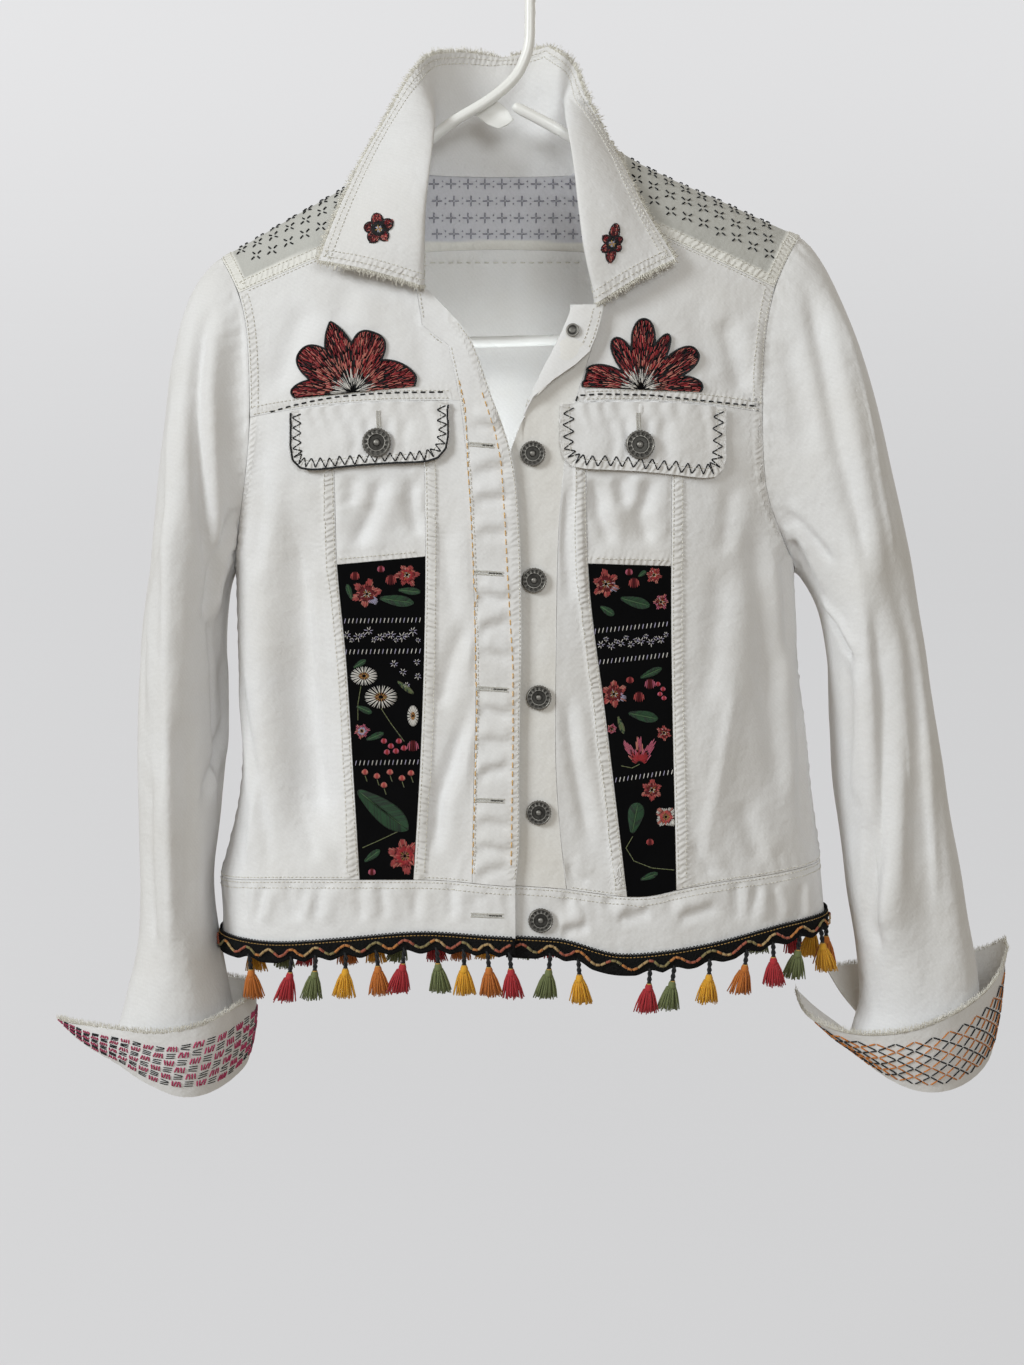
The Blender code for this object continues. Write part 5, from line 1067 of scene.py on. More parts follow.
work.bud(650, 842, 4)
work.leaf(640, 880, 658, 873, 7)
work.make()
inserts[1].sew((0.064, 0.240), 0.0114, slot="black_cloth", outside=black_cloth, inside=black_cloth)

# Plackets. The doubled front edges. The right one has four worked buttonholes above the waistband's, soft puckers
# between them and two rows of orange stitches; the left one carries the buttons and turns out as a lapel.
piece = CutPiece("placket_right", rim=2.3, hold=3.0).drift(0.7, 26, 12)
for v, depth in ((428, 1.2), (470, 1.0), (500, 1.3), (534, 1.0), (598, 1.3), (627, 1.0), (655, 1.0), (712, 1.3),
                 (742, 1.0), (772, 1.2), (824, 1.0), (850, 1.2), (872, 0.9)):
    tilt = 6 * math.sin(v)
    piece.crease(piece.line((468, v - tilt), (490, v), (513, v + tilt)), 3.8, depth, ridge=0.8, ends=0.3)
piece.gather("minus", 0.35, 7.0, 6.0).gather("plus", 0.25, 7.0, 5.0)
piece.band("plus", width=7.0, height=0.3, pucker=0.12, rope=0.6)
threads = piece.stitched(("minus", 1.6), ("plus", 1.2))
for line in (((459, 380), (465, 406), (468, 462), (469, 523), (473, 625), (477, 698), (475, 790), (472, 880)),
             ((482, 392), (495, 431), (501, 462), (505, 523), (508, 584), (513, 666), (513, 740), (511, 870))):
    threads.path(line, 6.4, 0.76, 0.42, orange_thread)
for u0, v0, u1, v1 in ((468, 444, 494, 446), (471, 572, 503, 574), (475, 688, 508, 690), (474, 800, 504, 801)):
    work_buttonhole(threads, u0, v0, u1, v1)
threads.make()
piece.sew((0.060, 0.432), 0.0127)

piece = CutPiece("placket_left", rim=2.3, rounds=2, outer=large).drift(0.5, 30, 13).gather("minus plus", 0.25, 9.0, 6.0)
piece.stitched(("plus", 1.6, 6.8)).make()
piece.sew((0.078, 0.425), 0.0172)

# Back panel. One wide piece of denim below the yoke, in long soft folds that fall from the shoulders. Felled to the
# yoke above and set in the waistband below, with cream stitches beside both.
piece = CutPiece("back_panel").drift(1.6, 90, 14).rear_creases(
    ((-60, -330), (-66, -430), (-58, -560), 18, 2.6),
    ((40, -325), (52, -440), (46, -600), 20, 2.8),
    ((-120, -360), (-134, -460), (-128, -610), 16, 2.4),
    ((118, -350), (132, -470), (150, -640), 16, 2.4),
    ((-10, -470), (4, -570), (-6, -670), 16, 2.0),
    ((-165, -470), (-160, -570), (-172, -670), 11, 2.0),
    ((172, -480), (166, -560), (178, -668), 11, 2.0),
    ((84, -540), (78, -610), (92, -680), 12, 1.6),
    ((-92, -560), (-86, -620), (-98, -682), 12, 1.6),
).gather("minus plus", 0.6, 10.5, 13.0).gather("bottom", 0.6, 14.0, 20.0).gather("top", 0.4, 15.0, 16.0)
piece.band("top", width=7.5, height=0.5, pucker=0.15, rope=0.3).settle().tuck("top")
threads = Stitches("back_panel_stitches", piece)
for names, inset in (("top", 1.5), ("top", 6.6), ("bottom", 1.6)):
    threads.row(names, inset, cream_thread)
for u in np.arange(430, 582, 9.0):
    a, b = piece.line((u, 263), (u + 5.5, 263))
    threads.add(a + FORWARD * 1.5 * MM, b + FORWARD * 1.5 * MM, FORWARD, 0.4, cream_thread)
threads.make()
piece.sew((0.470, 0.472), 0.1966, rests_on=["hanger_tube"])

# Back yoke. Light grey cotton over both shoulders, worked all over with black crosses of four stitches that leave
# their middles open. Its inside shows behind the neck, where the crosses come through as paler marks.

# Light grey cotton: matt and cool, a little darker where it is worn, with a white binding along its front edge.
grey_cotton = denim("grey_yoke_cotton", "#C6C6C2", "#B4B4B0", bound_hex="#EAE9E5")
# The reverse is cooler and bluer of its own, and painted lighter than the face: painted light that makes up for the
# shade behind the neck.
grey_inside = denim("grey_yoke_reverse", "#D6D6DC", "#CBCBD3", bound_hex="#ECEAE4")
mark_thread = cotton("mark_thread", "#A3A2B0")
REAR_SEAM = -203  # its height in mm


def above(centre, normal):
    """Scores a face for the upper side of the yoke."""
    return normal.y * centre.y + normal.z * (centre.z + 0.30)


piece = CutPiece("back_yoke", outer=above).name_where("front", lambda place: place[1] < 4)
piece.drift(0.7, 55, 15).gather("top bottom", 0.3, 10.0, 9.0)
piece.name_where("rear", lambda place: place[1] > 15 and place[2] < REAR_SEAM)
piece.band("front", width=9.0, height=0.5).band("rear", width=9.0, height=0.5, pucker=0.1, rope=0.2)
from_front = piece.beside("front rear")[0]
piece.bound = smooth(9.6, 8.6, from_front)
piece.stitched(("front", 1.5, 7.6)).make()
near_front = tree_of(piece.points)
threads = Stitches("back_yoke_crosses", piece, slot="black_cloth")
for column, x in enumerate(np.arange(-192, 200, 12.0)):
    places = []
    for turn in np.arange(-86, 100, 0.6):
        way = Vector((0, math.sin(math.radians(turn)), math.cos(math.radians(turn))))
        hit = piece.tree.ray_cast(Vector((x * MM, 0.0, -0.33)), way)
        if hit[0] is not None and hit[1].dot(way) > 0:
            places.append((np.array(hit[0]), np.array(hit[1])))
    if len(places) < 4:
        continue
    reach = reaches(np.array([centre for centre, _ in places])) / MM
    for row, run in enumerate(np.arange(9.0, reach[-1] - 6.0, 14.0)):
        index = int(np.searchsorted(reach, run))
        centre, normal = places[index]
        gap = np.linalg.norm(centre - places[index - 1][0])
        if gap > 6 * MM or from_front[near_front.find(centre)[1]] < 13:
            continue
        across = unit(np.array((1.0, 0, 0)) - normal * normal[0])
        down = np.cross(normal, across)
        tilt = math.radians(45 + 7 * math.sin(column * 1.7 + row * 2.3))
        for quarter in range(4):
            angle = tilt + quarter * math.pi / 2
            way = across * math.cos(angle) + down * math.sin(angle)
            threads.on(centre + way * 1.4 * MM, centre + way * 5.2 * MM, 0.6, black_thread, sink=0.0)
threads.make()
marks = Stitches("back_yoke_marks", piece, slot="grey_cotton")
for row, v in enumerate((184, 201, 218, 234)):
    for u in np.arange(434 + 3 * (row % 2), 578, 17.0):
        for u0, v0, u1, v1 in ((5.5, 0, 0.4, 0), (-5.5, 0, -0.4, 0), (0, 5.5, 0, 0.4), (0, -5.5, 0, -0.4),
                               (8.5, -3.5, 8.5, -2), (8.5, 2, 8.5, 3.5)):
            a, b = piece.line((u + u0, v + v0), (u + u1, v + v1))
            toward = unit(np.array(camera.location) - a)
            marks.add(a + toward * 1.35 * MM, b + toward * 1.35 * MM, toward, 0.55, mark_thread)
marks.make()
piece.sew((0.430, 0.190), 0.0472, slot="grey_cotton", outside=grey_cotton, inside=grey_inside,
          rests_on=["hanger_tube"])

# Collar. It stands up round the hanger's stem and rolls open at the front. Its outer edges are raw and frayed, with
# two rows of stitches inside them, and each point has a small flower.
fray_thread = cotton("fray_thread", "#F4F1E8", sheen=0.0)
collar = CutPiece("collar", rim=2.3, outer=large, hold=0)
collar.name_edge("raw", (-60, -60, -257), (70, -60, -268), (30, 37, -71))
collar.name_edge("neck", (-60, -60, -257), (70, -60, -268), (68, 28, -156))
collar.drift(0.9, 40, 16).gather("raw", 0.4, 8.0, 9.0).band("raw", width=8.0, height=0.4, pucker=0.15, rope=0.8)
collar.gather("neck", 0.35, 9.0, 10.0).tuck("neck", under=0.0)
threads = collar.stitched(("raw", 8.0, 3.6))
fray = np.random.default_rng(5)
for a, b in collar.along_edge("raw", 0.3, 0.5):
    way = unit(b - a)
    normal = np.array(collar.tree.find_nearest(Vector(a))[1])
    out = np.cross(way, normal)
    if out @ collar.outline[1][np.argmin(np.linalg.norm(collar.outline[0] - a, axis=1))] < 0:
        out = -out
    for side in (0.0, 0.5, 1.0):
        long = fray.uniform(1.6, 4.4) if fray.random() < 0.9 else fray.uniform(4.4, 7.0)
        tip = a + (out * long + way * fray.normal(0, 1.1) + normal * fray.normal(0, 0.8)) * MM
        threads.add(a - (out * 0.8 + normal * side) * MM, tip, normal, 0.2, fray_thread, 0.5)
threads.make()
motifs = Embroidery("collar_flowers", collar)
motifs.longest = 3.0
for u, v, petals in (
    (379, 229, ((100, 17, 14), (172, 16, 14), (236, 17, 15), (306, 15, 13), (28, 17, 14))),
    (612, 244, ((78, 22, 12), (140, 13, 10), (215, 14, 10), (262, 20, 12), (325, 12, 10), (30, 13, 9))),
):
    for degrees, far, width in petals:
        motifs.sink = 0.3
        motifs.petal(u, v, degrees, 2.5, far, width * 0.95, black_thread, black_thread, 0.55)
        motifs.sink = -0.9
        motifs.petal(u, v, degrees, 2.5, far, width * 0.9, deep_red, black_thread)
        motifs.petal(u, v, degrees + 9, 7, far - 3, width * 0.34, crimson, deep_red)
        motifs.rim(u, v, degrees, 2, far - 1.4, width * 0.82, black_thread)
    for i in range(7):
        motifs.spoke(u, v, 51.4 * i, 0.0, 4.2, (gold_thread, lilac_thread)[i % 2], 0.4)
motifs.make()
collar.sew((0.480, 0.130), 0.0421)

# Sleeves. Long denim tubes that hang from the armholes in slanting folds, tightest under the arm, puckered where they
# are set into the shoulder above and the cuff below.
for node, seed, flat, area, shown, hidden in (
    ("sleeve_right", 17, (0.330, 0.610), 0.1424, (
        ((214, 296), (200, 340), (196, 390), (199, 455), (204, 520), (210, 600), 5.5, 3.0, 0.6),
        ((210, 600), (215, 665), (218, 745), (219, 815), 5, 2.8, -0.5),
        ((172, 380), (169, 465), (167, 570), (166, 700), 6, -1.3, -0.5),
        ((166, 660), (167, 780), (170, 900), (172, 990), 5, -1.5, -0.5),
        ((186, 700), (184, 800), (186, 900), (190, 960), 8, 1.8, 0.5),
        ((236, 505), (216, 560), (206, 632), 5, 2.8, 0.6),
        ((240, 530), (226, 556), (219, 590), 3.2, 1.4, 0.5),
        ((222, 640), (226, 720), (220, 820), 6, 2.0, 0.4),
        ((248, 300), (236, 380), (234, 470), 9, 1.4, 0.4),
        ((150, 480), (146, 600), (143, 740), 8, 1.5, 0.5),
        ((152, 760), (150, 860), (152, 960), 7, 1.3, 0.4)), (
        ((-235, -300), (-250, -420), (-262, -560)), ((-262, -420), (-268, -560), (-290, -700)),
        ((-240, -560), (-262, -680), (-270, -760)))),
    ("sleeve_left", 18, (0.360, 0.620), 0.1624, (
        ((802, 268), (814, 308), (824, 361), (838, 440), (861, 531), (874, 600), 7.5, 2.4, 0.6),
        ((868, 575), (880, 640), (885, 700), (885, 765), (880, 842), (868, 922), (856, 975), 8, 3.2, 0.7),
        ((824, 285), (848, 348), (874, 465), (897, 583), 4.5, -1.6, -0.5),
        ((905, 590), (922, 700), (930, 800), (938, 925), 5, -1.6, -0.5),
        ((768, 516), (795, 545), (820, 596), 4, 1.8, 0.5),
        ((780, 508), (806, 530), (836, 566), 4, 1.4, 0.5),
        ((820, 604), (838, 630), (855, 664), 3.4, 2.2, 0.6),
        ((846, 650), (850, 720), (846, 800), 7, 1.6, 0.5),
        ((900, 720), (908, 800), (910, 900), 7, 1.5, 0.5),
        ((786, 330), (800, 400), (810, 460), 9, 1.2, 0.4),
        ((834, 820), (844, 900), (846, 980), 6, 1.6, 0.5)), (
        ((238, -300), (262, -420), (286, -560)), ((262, -380), (298, -540), (312, -680)),
        ((250, -520), (280, -640), (290, -740)))),
):
    piece = CutPiece(node, outer=large).drift(1.8, 60, seed).creases(*shown)
    piece.rear_creases(*((*path, 11, 2.4) for path in hidden)).gather("loop0 loop1", 0.6, 12.0, 16.0)
    piece.sew(flat, area, rests_on=["hanger_tube"])

# Cuffs. Turned up and flared, raw along the upper edge. The right one is covered in blocks of magenta and black
# stitches like a basket weave, the left one in a lattice of black and orange.
magenta_thread = cotton("magenta_thread", "#C03868")
cuff_orange = cotton("cuff_orange_thread", "#CE7A22")
BLOCK_MM, LATTICE_MM = 8.6, 11.0
UP = np.array((0, 0, 1.0))

for side, flat, area, lower, upper in (
    ("right", (0.290, 0.055), 0.0137, ((-340, -6, -800), (-276, 34, -822), (-227, -52, -846)),
     ((-340, -6, -800), (-283, 45, -781), (-219, -57, -790))),
    ("left", (0.320, 0.066), 0.0190, ((262, 6, -813), (279, 31, -810), (372, 9, -820)),
     ((222, -2, -779), (252, 46, -773), (383, 8, -745))),
):
    piece = CutPiece(f"cuff_{side}", rim=2.5, rounds=2, outer=large, hold=0)
    piece.name_edge("lower", *lower).name_edge("upper", *upper)
    piece.drift(1.0, 30, 19).gather("upper lower", 0.35, 9.0, 9.0)
    work = piece.stitched(slot="red_embroidery")
    length = piece.lines["lower"][0][2][-1] / MM

    def on_cuff(share, up):
        """The place on the cuff at a share of the way along it and up it."""
        low, high = (at_reach(at, run, share * run[-1]) for at, _, run in piece.stretches("lower upper"))
        return low + (high - low) * up

    chance = np.random.default_rng(6)
    if side == "right":
        columns, rows = int(length / BLOCK_MM), 6
        tall, wide = 0.66 / rows * 0.86, 0.86 / columns
        for column, row in ((column, row) for column in range(columns) for row in range(rows)):
            low, left = 0.13 + 0.66 * row / rows + 0.02 * math.sin(column), (column + 0.08) / columns
            upright = (column + row) % 2
            count = 4 if upright else 3
            for share in ((i + 0.5) / count for i in range(count)):
                if upright:
                    slant = wide * chance.uniform(-0.12, 0.12)
                    work.on(on_cuff(left + wide * share - slant, low), on_cuff(left + wide * share + slant, low + tall),
                            0.66, magenta_thread)
                else:
                    slant = tall * chance.uniform(-0.15, 0.15)
                    work.on(on_cuff(left, low + tall * share - slant), on_cuff(left + wide, low + tall * share + slant),
                            0.42, black_thread)
    else:
        steps, rises = int(length / LATTICE_MM), 5
        for aside, thread in ((0, black_thread), (1, cuff_orange)):
            for step, rise in ((step, rise) for step in range(steps) for rise in range(rises)):
                for turn in (1, -1):
                    if (step + rise + aside) % 2 or not 0 <= step + turn <= steps:
                        continue
                    a = on_cuff((step + 0.04 * turn) / steps, 0.11 + 0.7 * (rise + 0.04) / rises)
                    b = on_cuff((step + turn) / steps, 0.11 + 0.7 * (rise + 1) / rises)
                    work.on(a, (a + b) / 2, 0.6, thread, sink=0.1)
                    work.on((a + b) / 2, b, 0.6, thread, sink=0.1)
    hair = np.random.default_rng(8)
    for a, b in piece.along_edge("upper", 0.2, 0.45):
        normal, way = np.array(piece.tree.find_nearest(Vector(a))[1]), unit(b - a)
        for _ in range(2):
            tip = a + (UP * hair.uniform(1.4, 5.0) + way * hair.normal(0, 1.0) + normal * hair.normal(0, 0.9)) * MM
            work.add(a - UP * 0.8 * MM, tip, normal, 0.16, fray_thread, 0.5)
    work.make()
    piece.sew(flat, area, thickness=1.6)

# Waistband. A doubled band, creased up and down where it pulls, with rows of stitches by its edges and one worked
# buttonhole at its right end.
waistband = CutPiece("waistband", rim=2.5).drift(0.8, 30, 20)
for u in (244, 265, 286, 304, 322, 358, 382, 420, 452, 476, 574, 612, 634, 676, 735, 757, 770, 800):
    lean = 5 * math.sin(u * 1.3)
    waistband.creases(((u, 882), (u + lean, 900), (u + 2 * lean, 922), 4.0, 1.1 + 0.4 * math.sin(u), 0.7))
for u0, v0, u1, v1 in ((616, 921, 652, 912), (676, 920, 718, 906), (560, 934, 590, 926)):
    waistband.creases(((u0, v0), ((u0 + u1) / 2, (v0 + v1) / 2), (u1, v1), 4.0, 1.3, 0.7))
threads = waistband.gather("top", 0.55, 13.0, 22.0).gather("bottom", 0.35, 14.0, 12.0).stitched(
    ("top", 1.6, 5.8), ("bottom", 2.0))
work_buttonhole(threads, 471, 915, 503, 916)
threads.make()
waistband.sew((1.030, 0.050), 0.0470, thickness=1.8)

# Braid and tassels. A woven black braid along the hem, scalloped below, with little loops above and a wave of
# coloured chain stitch; from it hang forty cotton tassels on short black cords.
HEM_LENGTH = 1036.4
TASSELS = (  # mm along the hem, and red, orange, yellow or green
    (4.0, "r"), (20.0, "o"), (37.0, "y"), (57.0, "g"), (80.5, "r"), (101.3, "o"), (124.0, "y"), (146.5, "g"),
    (165.3, "r"), (201.0, "o"), (296.0, "y"), (319.5, "g"), (342.9, "r"), (366.4, "o"), (388.7, "y"), (413.3, "g"),
    (436.7, "r"), (460.2, "o"), (483.6, "y"), (507.1, "g"), (530.5, "r"), (554.0, "o"), (577.4, "y"), (600.9, "g"),
    (624.3, "r"), (646.2, "o"), (671.2, "y"), (694.7, "g"), (718.1, "r"), (738.8, "y"), (765.0, "o"), (788.4, "y"),
    (811.9, "g"), (835.4, "r"), (856.4, "o"), (885.4, "y"), (912.0, "g"), (929.9, "r"), (983.4, "y"), (1004.0, "g"))
WAVE = 23.5  # mm from one crest of the chain stitch to the next
SCALLOPS, ROWS = 520, (0.0, 0.12, 0.3, 0.5, 0.7, 0.88, 1.0)
SKIRT_THREADS, GOLDEN_ANGLE = 52, 2.399963

# Woven braid: a dull deep black with the pebbled look of a close weave, its cells drawn about 1 mm wide to show.
braid_cloth, tree, shader, place = new_material("black_woven_braid", Roughness=0.9, Specular_IOR_Level=0.1)
weave = add_node(tree, "ShaderNodeTexVoronoi", Vector=place, Scale=900.0).outputs["Distance"]
shade = add_node(tree, "ShaderNodeMapRange", Value=weave, _1=0.0, _2=0.8, _3=0.012, _4=0.003)
pebbled = add_node(tree, "ShaderNodeBump", Height=weave, Distance=0.0004, Strength=0.8)
feed(shader, Base_Color=shade.outputs[0], Normal=pebbled.outputs[0])

hem = max(waistband.lines["bottom"], key=lambda entry: len(entry[0]))[0]
if hem[0][0] < hem[-1][0]:
    hem = hem[::-1]
along_hem = reaches(hem)
along_hem *= HEM_LENGTH / along_hem[-1]


def by_hem(distance, height, out):
    """A place by the hem: mm along it from the right front edge, mm above it and mm out from it."""
    a, here, b = (at_reach(hem, along_hem, distance + aside) for aside in (-3, 0, 3))
    away = unit(np.array((b[1] - a[1], a[0] - b[0], 0.0)))
    if away @ (here - np.array((0.01, -0.01, here[2]))) < 0:
        away = -away
    return here + (UP * height + away * out) * MM, away


def scallop(distance):
    away = min(abs(distance - place) for place, _ in TASSELS)
    return -7.5 + 1.6 * math.cos(math.pi * min(away / 11.75, 1.0))


points = []
for index, distance in enumerate(np.arange(0, HEM_LENGTH + 0.1, HEM_LENGTH / SCALLOPS)):
    for row, share in enumerate(ROWS):
        rib = 0.22 * (1 if (index + row) % 2 else -1) * math.sin(math.pi * share)
        points.append(by_hem(distance, 6.0 + (scallop(distance) - 6.0) * share,
                             1.9 + rib + 0.35 * math.sin(math.pi * share))[0])
wide = len(ROWS)
faces = [(a, a + 1, a + wide + 1, a + wide) for i in range(len(points) // wide - 1)
         for a in range(i * wide, (i + 1) * wide - 1)]
braid = build("hem_braid", points, faces, [braid_cloth])
apply_modifier(braid, "SOLIDIFY", thickness=1.2 * MM, offset=0.0)
clean(braid)
bpy.ops.object.shade_smooth()
declare(braid, "black_braid", "tassel_braid")

chain = [cotton("chain_rust", "#A9563C"), cotton("chain_tan", "#B99A68"), cotton("chain_amber", "#C07A35"),
         cotton("chain_olive", "#8A7C4C")]
work = Stitches("hem_braid_chain", None, slot="black_braid")
crests = [-WAVE] + [place for place, _ in TASSELS] + [HEM_LENGTH + 10]
beats = np.concatenate([[0], np.cumsum([max(1, round((b - a) / WAVE)) for a, b in zip(crests, crests[1:])])])


def on_chain(distance, out):
    return by_hem(distance, -1.4 + 3.3 * math.cos(2 * math.pi * np.interp(distance, crests, beats)), out)


for i, distance in enumerate(np.arange(3.0, HEM_LENGTH - 6, 3.9)):
    a, away = on_chain(distance, 3.1)
    work.add(a, on_chain(distance + 4.6, 3.5)[0], away, 1.05, chain[(i // 3 + i // 7) % 4], 0.3)
for distance in np.arange(2.0, HEM_LENGTH - 3, 2.6):
    a, away = by_hem(distance, 5.6, 1.9)
    b, c = by_hem(distance + 1.3, 7.4, 1.9)[0], by_hem(distance + 2.6, 5.6, 1.9)[0]
    work.add(a, b, away, 0.36, black_thread, 0.5)
    work.add(b, c, away, 0.36, black_thread, 0.5)
    a, away = by_hem(distance, 4.3, 2.65)
    work.add(a, by_hem(distance + 1.9, 4.3, 2.65)[0], away, 0.28, gold_thread, 0.3)
work.make()

materials = [black_thread, gold_thread, cotton("tassel_red", "#B3202B"), cotton("tassel_orange", "#C4701F"),
             cotton("tassel_yellow", "#E6A91F"), cotton("tassel_olive", "#6E7748")]
points, faces, tints = [], [], []


def strand(path, radii, sides, tint):
    """A round thread along a path, closed at both ends."""
    first, last = len(points), len(points) + (len(path) - 1) * sides
    for i, (place, radius) in enumerate(zip(path, radii)):
        way = unit(path[min(i + 1, len(path) - 1)] - path[max(i - 1, 0)])
        across = unit(np.cross(way, np.array((0.31, 0.95, 0.05))))
        beside = np.cross(way, across)
        for angle in (2 * math.pi * k / sides for k in range(sides)):
            points.append(place + (across * math.cos(angle) + beside * math.sin(angle)) * radius * MM)
    made = [(a + k, a + (k + 1) % sides, a + sides + (k + 1) % sides, a + sides + k)
            for a in range(first, last, sides) for k in range(sides)]
    made += [tuple(first + k for k in reversed(range(sides))), tuple(last + k for k in range(sides))]
    faces.extend(made)
    tints.extend([tint] * len(made))


chance = np.random.default_rng(77)
for distance, key in TASSELS:
    root, away = by_hem(distance, scallop(distance) + 1.5, 1.9)
    swing = np.array((3.0 * math.sin(distance * 1.7), 0.6 * math.sin(distance * 0.9 + 1.0), 0.0))
    neck = root + (swing * 0.5 - UP * 11.0) * MM
    tint = 2 + "royg".index(key)
    for turn in (0.0, math.pi):
        path = []
        for share in np.linspace(0, 1, 9):
            angle = turn + share * 2 * math.pi * 1.3
            path.append(root + (neck - root) * share + np.array((math.cos(angle), math.sin(angle), 0)) * 0.95 * MM)
        strand(path, [0.95] * 9, 6, 0)
    for height, radius, thread in ((0.0, 1.7, 0), (-1.0, 2.3, 1), (-1.9, 2.3, 0), (-2.8, 2.5, 1)):
        ring = [neck + np.array((math.cos(a) * radius * 0.6, math.sin(a) * radius * 0.6, height)) * MM
                for a in np.linspace(0, 2 * math.pi, 9)]
        strand(ring, [0.75] * 9, 5, thread)
    knot = [neck + (UP * height + swing * 0.05 * i) * MM for i, height in enumerate((0.2, -1.2, -3.0, -4.6, -6.0))]
    strand(knot, (0.9, 2.2, 2.9, 2.9, 3.0), 10, tint)
    head = neck + (swing * 0.3 - UP * 4.6) * MM
    for number in range(SKIRT_THREADS):
        angle, share = GOLDEN_ANGLE * number, math.sqrt((number + 0.5) / SKIRT_THREADS)
        near, far = 3.0 * share, (8.8 + chance.uniform(-0.8, 0.8)) * share
        long = 17.5 + chance.uniform(-1.6, 0.8) - 0.5 * share
        path = []
        for step in (0.0, 0.3, 0.65, 1.0):
            wide = near + (far - near) * step**0.75
            side = chance.uniform(-0.3, 0.3) * step
            path.append(head + (np.array((math.cos(angle) * wide + side, math.sin(angle) * wide * 0.7, -long * step))
                                + swing * (0.9 * step)) * MM)
        strand(path, (0.62, 0.6, 0.55, 0.4), 4, tint)
tassels = build("hem_tassels", points, faces, materials, tints)
only(tassels)
bpy.ops.object.shade_smooth()
declare(tassels, "black_braid")

# Buttons. Gunmetal shank buttons with a knurled rim, two rings and a bright domed middle, and the flat ring of the
# top button's back on the lapel; worn brighter where fingers touch them.
gunmetal, tree, shader, place = new_material("antique_gunmetal", Metallic=1.0)
grime = add_node(tree, "ShaderNodeTexNoise", Vector=place, Scale=420.0, Detail=4.0).outputs["Fac"]
edges = add_node(tree, "ShaderNodeNewGeometry").outputs["Pointiness"]
raised = add_node(tree, "ShaderNodeMapRange", Value=edges, _1=0.48, _2=0.56, _3=0.0, _4=1.0)
rubbed = add_node(tree, "ShaderNodeMath", {"operation": "MULTIPLY_ADD", "use_clamp": True}, _0=grime, _1=0.35,
                  _2=raised.outputs[0])
tone = add_node(tree, "ShaderNodeMix", {"data_type": "RGBA"}, Factor=rubbed.outputs[0], _6=colour("#1E1D1B"),
                _7=colour("#77746E"))
rough = add_node(tree, "ShaderNodeMapRange", Value=grime, _1=0.3, _2=0.7, _3=0.34, _4=0.55)
feed(shader, Base_Color=tone.outputs[2], Roughness=rough.outputs[0])
SIDES = 56
BUTTON_PROFILE = ((0.0, 0.4), (7.6, 0.4), (8.8, 1.1), (9.1, 2.0), (8.8, 2.8), (8.2, 3.2), (7.7, 2.8), (7.2, 2.8),
                  (6.0, 2.8), (5.6, 3.2), (5.1, 3.1), (4.7, 2.2), (2.5, 2.1), (2.1, 2.8), (1.3, 3.4), (0.0, 3.6))
RIVET_PROFILE = ((0.0, 0.2), (4.2, 0.2), (4.7, 0.7), (4.5, 1.2), (3.9, 1.4), (3.2, 1.1), (2.6, 0.9), (2.2, 1.2),
                 (1.2, 1.4), (0.0, 1.4))
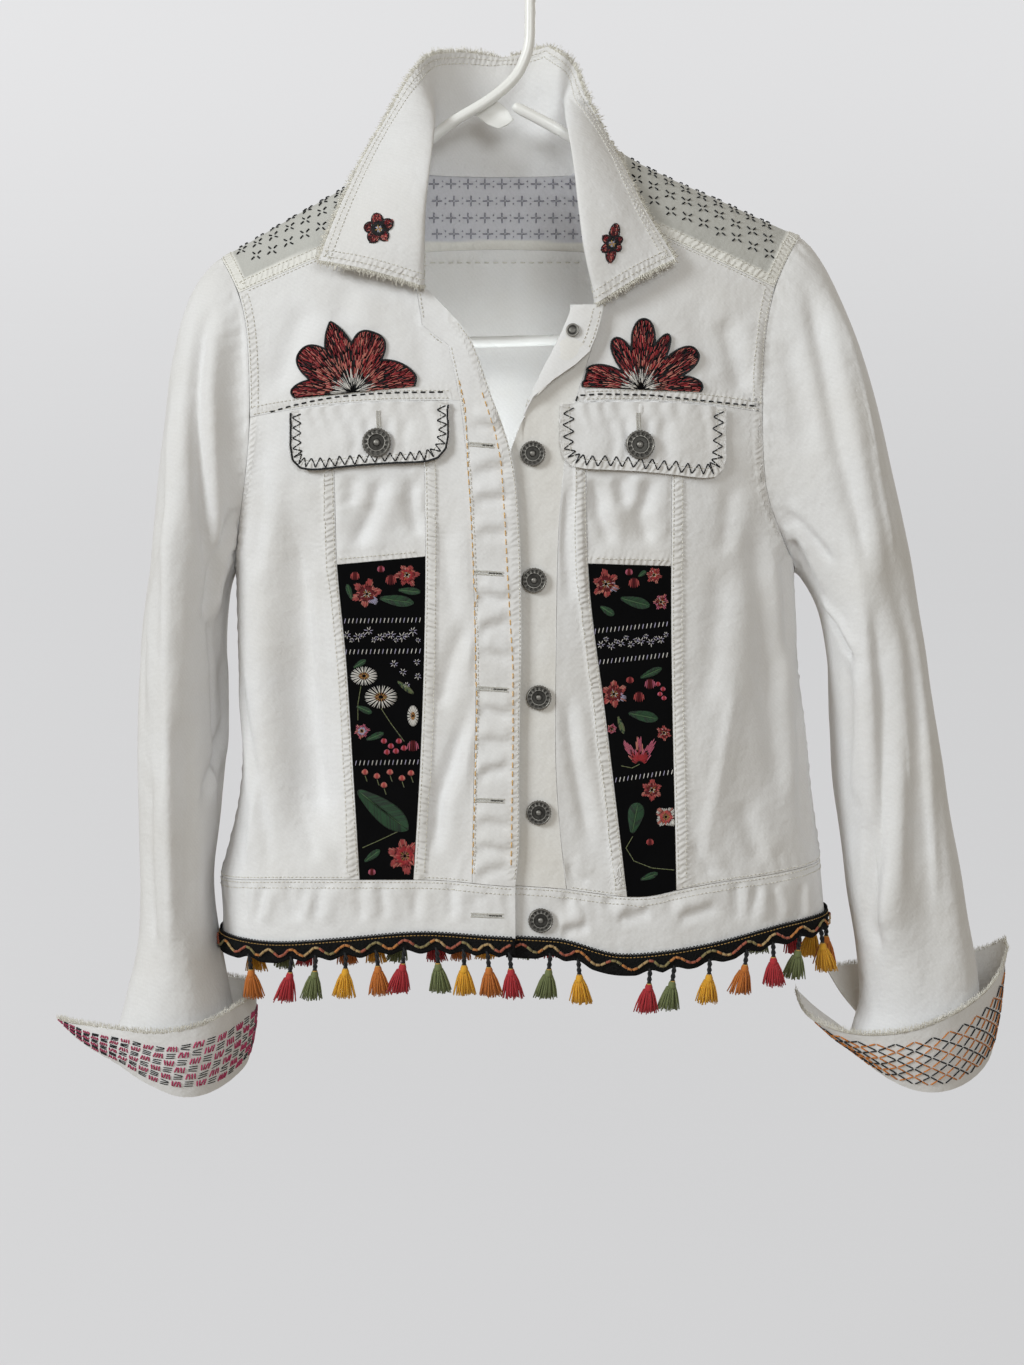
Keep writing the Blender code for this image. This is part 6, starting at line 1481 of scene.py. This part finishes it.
for node in ("button_1", "button_2", "button_3", "button_4", "button_5", "flap_button_left", "flap_button_right",
             "lapel_rivet"):
    corners = np.array([v.co[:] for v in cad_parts[node].data.vertices])
    middle = (corners.min(0) + corners.max(0)) / 2
    facing = np.linalg.eigh(np.cov((corners - corners.mean(0)).T))[1][:, 0]
    facing = -facing if facing[1] > 0 else facing
    across = unit(np.cross(facing, UP))
    upright = np.cross(across, facing)
    foot = middle + facing * ((corners - middle) @ facing).min()
    knurled = node != "lapel_rivet"
    profile = BUTTON_PROFILE if knurled else RIVET_PROFILE
    half = max(np.abs((corners - middle) @ way).max() for way in (across, upright)) / MM
    grow = half / max(radius for radius, _ in profile) * (1.1 if node.startswith("flap") else 1.05)
    points, faces = [], []
    for index, (radius, height) in enumerate(profile):
        for k in range(SIDES):
            angle = 2 * math.pi * k / SIDES
            knurl = 0.24 * (1 if k % 2 else -1) if index in (2, 3, 4) and knurled else 0.0
            bead = 0.25 * (1 if (k // 2) % 2 else -1) if index in (7, 8) and knurled else 0.0
            wide = (max(radius, 0.02) + knurl) * grow * MM
            points.append(foot + (across * math.cos(angle) + upright * math.sin(angle)) * wide
                          + facing * (height * grow + bead) * MM)
            if index:
                a, b, j = (index - 1) * SIDES, index * SIDES, (k + 1) % SIDES
                faces.append((a + k, a + j, b + j, b + k))
    button = build(f"{node}_metal", points, faces, [gunmetal])
    clean(button, merge=0.00006)
    bpy.ops.object.shade_smooth_by_angle(angle=math.radians(42))
    declare(button, "dark_metal", node)

# Hanger. A bent tube of white plastic and the small web plate under its neck: glossy, a little translucent, with a
# faint moulded waviness.
plastic, tree, shader, place = new_material("white_plastic", Base_Color=colour("#F3F3F1"), IOR=1.49,
                                            Subsurface_Weight=0.15, Subsurface_Radius=(0.003, 0.003, 0.003))
waves = add_node(tree, "ShaderNodeTexNoise", Vector=place, Scale=60.0, Detail=2.0).outputs["Fac"]
rough = add_node(tree, "ShaderNodeMapRange", Value=waves, _1=0.3, _2=0.7, _3=0.22, _4=0.36)
wavy = add_node(tree, "ShaderNodeBump", Height=waves, Distance=0.0003, Strength=0.25)
feed(shader, Roughness=rough.outputs[0], Normal=wavy.outputs[0])
for node, kind, settings in (("hanger_tube", "SUBSURF", {"levels": 2, "render_levels": 2}),
                             ("hanger_web", "BEVEL", {"width": 0.5 * MM, "segments": 3})):
    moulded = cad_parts[node].copy()
    moulded.data = moulded.data.copy()
    moulded.name = f"{node}_moulded"
    moulded.parent = None
    bpy.context.scene.collection.objects.link(moulded)
    moulded.hide_render = moulded.hide_viewport = False
    clean(moulded, merge=0.00001, quads=math.radians(40))
    apply_modifier(moulded, kind, **settings)
    bpy.ops.object.shade_smooth_by_angle(angle=math.radians(40))
    moulded.data.materials.clear()
    moulded.data.materials.append(plastic)
    declare(moulded, "white_plastic", node)

# The box of the dressed object, beside that of the solids.
low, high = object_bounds()
size_file = {"cad_low": list(cad_box[0]), "cad_high": list(cad_box[1]), "low": list(low), "high": list(high)}
